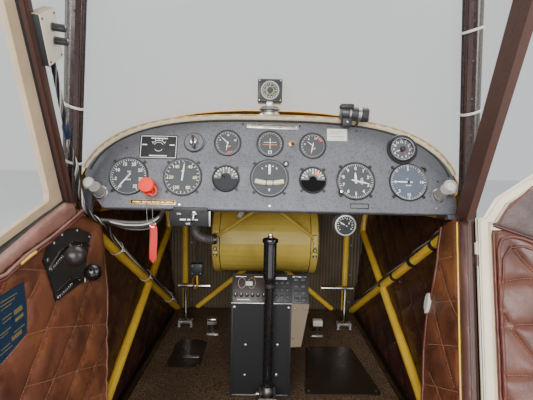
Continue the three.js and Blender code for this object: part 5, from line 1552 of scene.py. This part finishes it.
def console():
    build = Build("console_fittings")
    slope, narrow = (facing((x, 130, 302.5), (0, -59, 40)) for x in (-12, 79.5))
    build.blocks(CONSOLE_FACE, ((-71, -34, 0.2), (11, 34, 2.2), 1), place=slope)
    build.blocks(SATIN_BLACK, ((13, -34, 0.2), (71, 34, 2.4), 1), place=slope)
    for x in (-50, -26):
        build.add(tube([(x, y, 2.6) for x, y in round_line(9, 13, x, 12, 24)], 0.9, 6), STEEL, slope)
    build.blocks(PALE, ((-40, 6, 2), (-24, 16, 2.8), 0.2), place=slope)
    for i in range(6):
        knob = slope @ at(-64 + 13.5 * i, -18, 0)
        build.add(lathe([(0, 2), (4.4, 2), (4.2, 8), (3.4, 9), (0, 9)], 18), SATIN_BLACK, knob)
        build.bars(WHITE, 8.6, 9.3, (-0.5, 0, 0.5, 3.6), place=knob)
    for i in range(12):
        spot = at(21 + 13.5 * (i // 3), -20 + 17 * (i % 3), 0)
        build.blocks(BUTTON, ((-4, -4, 2), (4, 4, 6.5), 1), place=slope @ spot)
    build.blocks(PALE, ((24, 22, 2), (60, 28, 3.2), 0.4), place=slope)
    build.bars(WHITE, 2.1, 2.3, (-60, -28.8, -30, -27.2), (-66, 27.2, -40, 28.8), (-20, 27.2, 4, 28.8),
               place=slope)
    build.blocks(STEEL, ((-73, -37.5, 0), (73, -34.5, 3.4), 0.8), place=slope)
    build.blocks(SATIN_BLACK, ((-20.5, -36, 0.2), (20.5, 34, 2), 0.8), place=narrow)
    for i in range(8):
        spot = at(-8.5 + 17 * (i // 4), -26 + 16.5 * (i % 4), 0)
        build.blocks(BUTTON, ((-6, -5, 1.8), (6, 5, 5.6), 1.2), place=narrow @ spot)
    build.blocks(STEEL, ((-17, 28, 1.8), (17, 32, 2.6), 0.3), place=narrow)
    spots = ((-50, 168), (27, 169), (-51, 91), (26, 93), (-78, 262), (52, 262))
    build.screws(STEEL, 4.2, 2.2, ((x, 110, z) for x, z in spots), to_seat)
    build.blocks(SATIN_BLACK, ((-84, 107.6, 40), (-80.5, 110.2, 268), 0.8),
                 ((54.5, 107.6, 40), (58, 110.2, 268), 0.8))
    build.blocks(STEEL, ((-84, 107.6, 38), (58, 110.2, 43), 0.8))
    gusset = [(58.5, 274), (101, 274), (84, 168), (58.5, 166)]
    build.add(prism(*([(x, y, z) for x, z in gusset] for y in (106.5, 109.5))), TAN)
    build.screws(STEEL, 3, 1.8, ((66, 106.5, 262), (90, 106.5, 262), (64, 106.5, 190)), to_seat)
    build.done(slot="black_paint")


STICK_X = 4
STICK_Y = 86


def stick():
    build = Build("stick_details")
    sides = 48
    points = []
    profile = [(64, 11), (140, 10.6), (250, 10.8), (330, 11), (336, 12), (340, 14), (344, 15)]
    profile += [(350 + 7 * i, 15.2) for i in range(11)] + [(425, 15.4), (427, 18), (430, 18.4), (434, 17.4),
                                                           (436, 12), (438, 7)]
    for z, radius in profile:
        for i in range(sides):
            angle = math.tau * i / sides
            flute = 0.9 * (0.5 + 0.5 * math.cos(angle * 12)) if 346 < z < 424 else 0
            wide = radius - flute
            points.append((STICK_X + wide * math.cos(angle), STICK_Y + wide * math.sin(angle), z))
    build.add(rows_shape(points, len(profile)), GRIP)
    tip = at(STICK_X, STICK_Y, 0)
    build.add(lathe([(0, 436), (6.6, 436), (6.6, 440), (5, 441), (5, 444), (4.2, 446), (0, 446.5)], 24),
              CHROME, tip)
    build.add(ring(10.6, 12.2, 322, 330, 36), SATIN_BLACK, tip)
    build.add(lathe([(0, 60), (15.5, 60), (15.5, 66), (12.4, 74), (11.2, 80), (0, 80)], 32), STEEL, tip)
    pivot = facing((-20, STICK_Y, 60), (1, 0, 0))
    build.add(lathe([(0, -2.2), (4.6, -2.2), (5, 0), (5, 40), (4.6, 42.2), (0, 42.2)], 20), STEEL, pivot)
    build.add(lathe([(0, 6), (9, 6), (9, 33), (0, 33)], 24), STEEL, pivot)
    build.done("stick", "rubber_black", "control_stick")


def tank_fittings():
    build = Build("tank_fittings")
    for x in (-165, 155):
        for edge in (-12.4, 12.4):
            strap = round_line(TANK_R + 3.6, TANK_R + 3.6, TANK_Y, TANK_Z, 60, math.radians(60),
                               math.radians(300))
            build.add(tube([(x + edge, y, z) for y, z in strap], 1.1, 6), SATIN_BLACK)
        build.add(tube([(x, 419, 306), (x, 419, 374)], 3.4, 12), STEEL)
        for z in (309, 330, 352, 371):
            build.add(lathe([(0, -3), (6.4, -3), (6.4, 3), (0, 3)], 6), STEEL, at(x, 419, z))
        for z in (318, 362):
            build.blocks(TANK_YELLOW, ((x - 9, 414, z - 4), (x + 9, 430, z + 4), 1.5))
    for x in (-175, 163):
        build.add(ring(TANK_R - 3, TANK_R + 0.8, 0, 2.2, 72), TANK_YELLOW,
                  facing((x, TANK_Y, TANK_Z), (1, 0, 0)))
    tag = facing((-84, 426, 446), (0.2, -1, 0.1))
    build.blocks(PALE, ((-5, -16, 0), (9, 6, 0.6), 0.2), place=tag @ spin(-35))
    build.add(disc(14, 0, 3, 28, 1), SATIN_BLACK, facing((-5, TANK_Y - 60, TANK_Z + 104), (0, -0.5, 0.86)))
    build.done(slot="frame_yellow")


def floor_fittings():
    build = Build("floor_fittings")
    for corners in ([(-278, 232), (-182, 232), (-182, 392), (-278, 392)],
                    [(98, 120), (292, 122), (268, 362), (128, 358)]):
        corners = [Vector(corner) for corner in corners]
        middle = sum(corners, Vector((0, 0))) / 4
        plate = []
        for i, corner in enumerate(corners):
            start, end = (corner + (other - corner).normalized() * 14
                          for other in (corners[i - 1], corners[(i + 1) % 4]))
            plate += [tuple(start.lerp(corner, t).lerp(corner.lerp(end, t), t))
                      for t in (0, 0.25, 0.5, 0.75, 1)]
            spot = corner.lerp(middle, 0.12)
            build.add(screw(2.8, 1.4), STEEL, at(spot.x, spot.y, FLOOR_TOP + 2.2))
        build.add(slab(plate, FLOOR_TOP + 0.1, FLOOR_TOP + 2.2, 0.6), HEEL_PLATE)
    build.blocks(STEEL, ((-239, 284, FLOOR_TOP + 2), (-192, 294, FLOOR_TOP + 3.2), 0.4))
    for side in (-1, 1):
        for x in (side * 276 - 21, side * 276 + 21):
            build.blocks(STEEL, ((x - 5, 484, FLOOR_TOP), (x + 5, 516, FLOOR_TOP + 3), 1))
        x = side * 174
        build.blocks(STEEL, ((x - 22, 428, FLOOR_TOP), (x + 22, 466, FLOOR_TOP + 2), 0.8))
        build.screws(CHROME, 3, 1.8, ((x - 17, 432, FLOOR_TOP + 2), (x + 17, 432, FLOOR_TOP + 2)))
    build.blocks(PALE, ((157, 419, 77), (189, 441, 96), 2.5))
    build.blocks(CHROME, ((-188, 420, 86), (-160, 440, 95.5), 2.5))
    build.done(slot="bare_metal")


panel_fittings()
roll_and_seam()
compass()
rim_lamp()
switch_plate()
safety_cap()
streamer()
lower_gauge()
throttle()
placard()
console()
stick()
tank_fittings()
floor_fittings()

# Posts, window edges and wiring

def post_point(side, z, inboard=0.0, aft=0.0):
    return Vector((side * (upper_plane(z) - inboard), screen_post_y(z) - aft, z))


BRACE_HALF = 389
BRACE_START = Vector((-BRACE_HALF, *BRACE_FOOT))
BRACE_ALONG = (Vector((-ROOF_HALF, BRACE_TOP_Y, ROOF_Z)) - BRACE_START).normalized()
BRACE_IN = (Vector((1, 0, 0)) - BRACE_ALONG * BRACE_ALONG.x).normalized()
BRACE_FRONT = BRACE_ALONG.cross(BRACE_IN)
BRACE_FRONT = BRACE_FRONT if BRACE_FRONT.y > 0 else -BRACE_FRONT


def on_brace(along, front, inward):
    return BRACE_START + BRACE_ALONG * along + BRACE_FRONT * front + BRACE_IN * inward


TRUSS_TOP = 492
TRUSS_FOOT = LONGERON_Z + 14
TRUSS_RUN = 672.2


def truss_point(y, inboard, lift=6, side=-1):
    z = lerp(TRUSS_TOP, TRUSS_FOOT, y / TRUSS_RUN)
    return Vector((side * (lower_plane(z) - inboard), y, z + lift))


CABLE_OFF = 19.4


def beside_post(z):
    return Vector((-upper_plane(z) + CABLE_OFF * 0.85, screen_post_y(z) - CABLE_OFF * 0.53, z))


def tie(build, finish, centre, direction, radius, width=2.6, depth=0.9):
    """A zip tie round something: a flat loop with its lock."""
    place = facing(centre, direction)
    build.add(ring(radius, radius + depth, -width / 2, width / 2, 32), finish, place)
    build.blocks(finish, ((radius - 0.4, -2.4, -2.6), (radius + 4, 2.4, 2.6), 0.8),
                 ((radius + 3, -1, -0.5), (radius + 9, 1, 0.5), 0.3), place=place @ spin(200))


def wind(build, path, radius, wire, turns, finishes):
    """Wires wound slowly round a path, one for each finish."""
    last = len(path) - 1
    for k, finish in enumerate(finishes):
        wound = []
        for i, place in enumerate(path):
            along = (path[min(i + 1, last)] - path[max(i - 1, 0)]).normalized()
            first = along.cross(Vector((0.3, 0.2, 0.9))).normalized()
            second = along.cross(first)
            angle = math.tau * (k / len(finishes) + turns * i / last)
            wound.append(place + (first * math.cos(angle) + second * math.sin(angle)) * radius)
        build.add(tube(wound, wire, 7), finish)


def wiring():
    route = [
        on_brace(271, 20, 17), on_brace(246, 22, 17), post_point(-1, 692, 8, 54), post_point(-1, 665, 8, 42),
        post_point(-1, 638, 8, 32), post_point(-1, 614, 10, 21), post_point(-1, 590, 15, 13),
        beside_post(562),
        Vector((-364, -30, 528)), Vector((-358, -16, 500)), Vector((-352, 12, 482)), Vector((-356, 60, 462)),
        truss_point(120, 20), truss_point(300, 20), truss_point(480, 20), truss_point(600, 22),
    ]
    path = curve(route, 150)
    build = Build("post_cable")
    build.add(tube(path, 2.3, 8), RUBBER)
    wind(build, path, 3.2, 1.25, 7, (RUBBER, WIRE_GREY, WIRE_WHITE, RUBBER, WIRE_GREY, RUBBER))
    piece = build.done(slot="rubber_black", replaces="wiring")

    # Columns: name, shift forward, shift down in the middle, radius, finish
    for name, forward, sag, radius, finish in (
        ("panel_hose_upper", 2, -5, 4.2, CONDUIT), ("panel_hose_middle", -7, 3, 3.4, RUBBER),
        ("panel_hose_lower", 6, 9, 2.8, WIRE_GREY), ("panel_wire", -11, -2, 1.6, WIRE_WHITE),
    ):
        route = [(-350, 16, 482), (-330, 34 + forward * 0.5, 474 - sag * 0.5),
                 (-300, 40 + forward, 468 - sag),
                 (-262, 40 + forward, 470 - sag), (-236, 36 + forward * 0.5, 484 - sag * 0.4),
                 (-222, 32, 504)]
        path = curve(route, 50)
        build = Build(name)
        build.add(tube(path, radius, 12), finish)
        piece = build.done(slot="rubber_black", replaces="wiring")

    build = Build("cable_ties")
    # Columns: side, height, inboard, aft, lean, radius
    for side, z, inboard, aft, lean, radius in ((-1, 702, 1.5, 1, 0.5, 16.5), (-1, 604, 1.5, 1, 0.5, 16.5),
                                                (1, 840, 0, 0, -0.4, 16.3), (1, 706, 0, 0, -0.4, 16.3)):
        direction = post_point(side, z + 1) - post_point(side, z - 1) + Vector((lean, 0, 0))
        tie(build, WIRE_WHITE, post_point(side, z, inboard, aft), direction, radius, 4.2, 1.6)
    run = (truss_point(300, 0) - truss_point(100, 0)).normalized()
    for y in (150, 330, 540):
        tie(build, WIRE_WHITE, truss_point(y, 7, 2), run, 16.5, 3.2, 1.2)
    run = (truss_point(300, 0, 0, 1) - truss_point(100, 0, 0, 1)).normalized()
    for y, width in ((94, 9), (192, 12), (294, 10), (374, 9)):
        middle = truss_point(y, 0, 0, 1)
        place = facing(middle, run)
        build.add(ring(11.2, 12.6, -width / 2, width / 2, 32), RUBBER, place)
        build.add(ring(12.4, 13.0, -width / 2 + 2, -width / 2 + 3, 32), RUBBER, place)
        tie(build, RUBBER, middle + run * (width / 2 + 3), run, 11.6)
    build.done(slot="rubber_black")

    # Connector on the post cable
    build = Build("cable_connector")
    low, high = post_point(-1, 642, 8, 33.4), post_point(-1, 666, 8, 42.4)
    path = [low, low.lerp(high, 0.2), low.lerp(high, 0.8), high]
    build.add(tube(path, lambda t: 6.2 if 0.1 < t < 0.9 else 4.8, 12), BLUE_PLATE)
    build.done(slot="rubber_black")

    # Slim wires along the right crossing tube
    build = Build("right_loom")
    stops = ((40, 16, 8), (120, 15, 9), (260, 15, 8), (420, 16, 8), (600, 18, 8))
    path = curve([truss_point(y, inboard, lift, 1) for y, inboard, lift in stops], 60)
    wind(build, path, 1.6, 1.5, 4, (RUBBER, WIRE_GREY, RUBBER))
    build.done(slot="rubber_black")


def intercom():
    place = Matrix((BRACE_FRONT, BRACE_ALONG, BRACE_IN)).transposed().to_4x4()
    place.translation = on_brace(0, 0, 0)
    build = Build("intercom_case", place)
    build.blocks(CASE_CREAM, ((-1.9, 270.5, 8.9), (41.9, 339, 23.2), 1.4))
    build.blocks(SATIN_BLACK, ((-2.9, 269.7, 8.2), (-1.4, 339.8, 22.8), 0.5))
    build.blocks(CASE_TAN, ((-2.5, 338.4, 8.2), (42.4, 340.2, 23.6), 0.6))
    build.blocks(CASE_CREAM, ((-2.2, 270, 22.8), (42.4, 339.6, 24.2), 0.5))
    build.screws(SATIN_BLACK, 1.7, 1.2, ((x, along, 24.1) for x in (2, 38) for along in (275, 334)))
    for along in (318, 299):
        spot = at(26, along, 24)
        build.add(lathe([(0, 0), (6.6, 0), (6.6, 1.4), (4, 1.8), (0, 1.8)], 24), STEEL, spot)
        build.add(slab(fluted(5, 0.35, 10, 60), 1.6, 19, 1.2), SATIN_BLACK, spot)
        build.bars(WHITE, 18.6, 19.3, (-0.5, 1, 0.5, 4.4), place=spot)
    for x in (12, 20, 28):
        build.add(lathe([(0, 0), (3.4, 0), (3, 5), (2, 7), (0, 7)], 16), RUBBER,
                  at(x, 271, 16) @ spin(90, "X"))
    build.done(slot="case_cream", replaces="intercom_box")


def mouldings():
    build = Build("post_mouldings")
    heights = numpy.linspace(508, 1046, 30)
    for side in (-1, 1):
        # Columns: inboard, aft, radius, finish
        for inboard, aft, radius, finish in ((12.6, -6.2, 2.6, RUBBER), (-12.4, 5.8, 2.6, RUBBER),
                                             (-9.5, 10.5, 1.5, EDGE_BROWN), (12.4, 5.6, 1.5, EDGE_BROWN)):
            build.add(tube([post_point(side, z, inboard, aft) for z in heights], radius, 7), finish)
        for z in range(540, 1040, 62):
            build.add(screw(2.2, 1.4), EDGE_BROWN,
                      facing(post_point(side, z, 5, 12.8), (-side * 0.4, -0.9, 0.05)))
    build.done(slot="vinyl_brown")

    build = Build("brace_mouldings")
    # Columns: forward, inward, radius, finish
    for front, inward, radius, finish in ((-13.5, 3, 2.8, RUBBER), (-14.5, -3, 2.2, RUBBER),
                                          (11, 8.6, 1.4, EDGE_BROWN), (-7.5, 11.8, 1.2, EDGE_BROWN)):
        build.add(tube([on_brace(a, front, inward) for a in numpy.linspace(16, 600, 24)], radius, 7), finish)
    build.done(slot="vinyl_brown")

    # Ribbed black seal along the left sill, over its tube
    build = Build("sill_seal")
    line = [Vector((-cabin_plane(454) + 1, y, 454.5)) for y in numpy.linspace(-620, -252, 20)]
    line += [Vector((-cabin_plane(lerp(454, 524, t)) + 1, lerp(-250, -42, t), lerp(454.5, 525, t)))
             for t in numpy.linspace(0, 1, 24)]
    section = []
    for i in range(30):
        angle = math.tau * i / 30
        radius = 13.6 if i % 3 else 14.6
        section.append((radius * math.cos(angle), radius * math.sin(angle)))
    build.add(sweep(line, section), RUBBER)
    build.done(slot="rubber_black")

    # Seal along the cowl behind the windscreen
    build = Build("cowl_seal", PANEL_PLACE)
    build.add(tube(rim_line(90, 1.03, 1.048, -20, 0.34), 2.0, 8, up=(0, 0, 1)), TAN)
    build.done(slot="cowl_orange")


SIDE_TUBE_FRONT_Z = 466
SIDE_TUBE_RUN = 698


def side_sleeves():
    """Vinyl wrapped round the side tubes where they pass the panel's ends."""
    build = Build("side_tube_sleeves")
    for side in (-1, 1):
        path = []
        for y in numpy.linspace(-12, 84, 14):
            z = lerp(SILL_Z, SIDE_TUBE_FRONT_Z, (y - POST_TOP_Y) / SIDE_TUBE_RUN)
            path.append(Vector((side * lower_plane(z), y, z)))
        build.add(tube(path, lambda t: 13.0 + 0.5 * math.sin(t * 40), 20), COVER_VINYL)
    build.done(slot="vinyl_brown")


def door_hardware():
    build = Build("door_hinge_parts")
    for z in (130, 420):
        low = hinge_point(z) + POST_DIRECTION * -1.5
        high = hinge_point(z) + POST_DIRECTION * 47
        build.add(tube([low, high], 2.2, 12), CHROME)
        for end, way in ((low, -1), (high, 1)):
            build.add(lathe([(0, 0), (4, 0), (3.4, 1.6), (0, 2.4)], 18), CHROME,
                      facing(end, POST_DIRECTION * way))
    build.done(slot="bare_metal")


def frame_fittings():
    """Rivets on the firewall, and the hose, box and cables beside the tank."""
    build = Build("footwell_fittings")
    for x in (-314, 314, 0):
        for z in (60, 170, 290, 400):
            build.add(lathe([(0, 0), (3.6, 0), (3.2, 1.8), (0, 2.2)], 12), STEEL, to_seat(x + 22, 686.6, z))
    hose = curve([(-205, 330, 452), (-214, 322, 425), (-204, 316, 396), (-176, 318, 382), (-150, 330, 380)],
                 40)
    build.add(tube(hose, lambda t: 13 + 0.9 * math.sin(t * 120), 16), CONDUIT)
    for t in (2, 37):
        build.add(ring(13.4, 15.4, -4, 4, 32), STEEL, facing(hose[t], hose[t + 1] - hose[t - 1]))
    build.blocks(SATIN_BLACK, ((-220, 296, 279), (-185, 318, 313), 2))
    build.screws(STEEL, 2, 1.4, ((x, 296, z) for x in (-214, -191) for z in (285, 307)), to_seat)
    for finish, radius, sides, steps, route in (
        (RUBBER, 2.6, 8, 40, [(-200, 306, 313), (-206, 314, 350), (-196, 330, 400), (-186, 340, 440),
                              (-180, 330, 470)]),
        (YELLOW, 3.2, 10, 30, [(-203, 310, 279), (-206, 330, 240), (-230, 420, 200), (-262, 560, 180),
                               (-268, 668, 178)]),
        (YELLOW, 3.6, 10, 30, [(-178, 330, 470), (-200, 334, 462), (-240, 380, 466), (-300, 480, 468),
                               (-330, 600, 458)]),
    ):
        build.add(tube(curve(route, steps), radius, sides), finish)
    build.done(slot="bare_metal")


wiring()
intercom()
mouldings()
side_sleeves()
door_hardware()
frame_fittings()

# Light and floor
FLOOR_BELOW = -80
world = bpy.data.worlds.new("studio")
bpy.context.scene.world = world
world.use_nodes = True
world.node_tree.nodes["Background"].inputs["Color"].default_value = (0.86, 0.88, 0.9, 1)
world.node_tree.nodes["Background"].inputs["Strength"].default_value = 0.9


def light(name, place, target, size, power):
    lamp = bpy.data.lights.new(name, "AREA")
    lamp.shape = "RECTANGLE"
    lamp.size, lamp.size_y = size
    lamp.energy = power
    stand = bpy.data.objects.new(name, lamp)
    stand.location = Vector(place) * MM
    stand.rotation_mode = "QUATERNION"
    stand.rotation_quaternion = (Vector(target) - Vector(place)).to_track_quat("-Z", "Y")
    bpy.context.scene.collection.objects.link(stand)


light("rear_light", (-500, -2600, 1300), (0, 0, 350), (2.4, 1.6), 120)
light("top_light", (300, 900, 2900), (0, 0, 500), (2.4, 2.4), 70)
light("side_light", (2800, -900, 1400), (200, 0, 400), (1.8, 1.8), 50)


def stage_floor():
    mesh = bpy.data.meshes.new("stage_floor")
    half = 20
    z = FLOOR_BELOW * MM
    mesh.from_pydata([(-half, -half, z), (half, -half, z), (half, half, z), (-half, half, z)], [],
                     [(0, 1, 2, 3)])
    mesh.materials.append(plain("stage_paint", (226, 227, 228), 0.9, 1))
    floor = bpy.data.objects.new("stage_floor", mesh)
    bpy.context.scene.collection.objects.link(floor)


stage_floor()

bpy.context.view_layer.update()
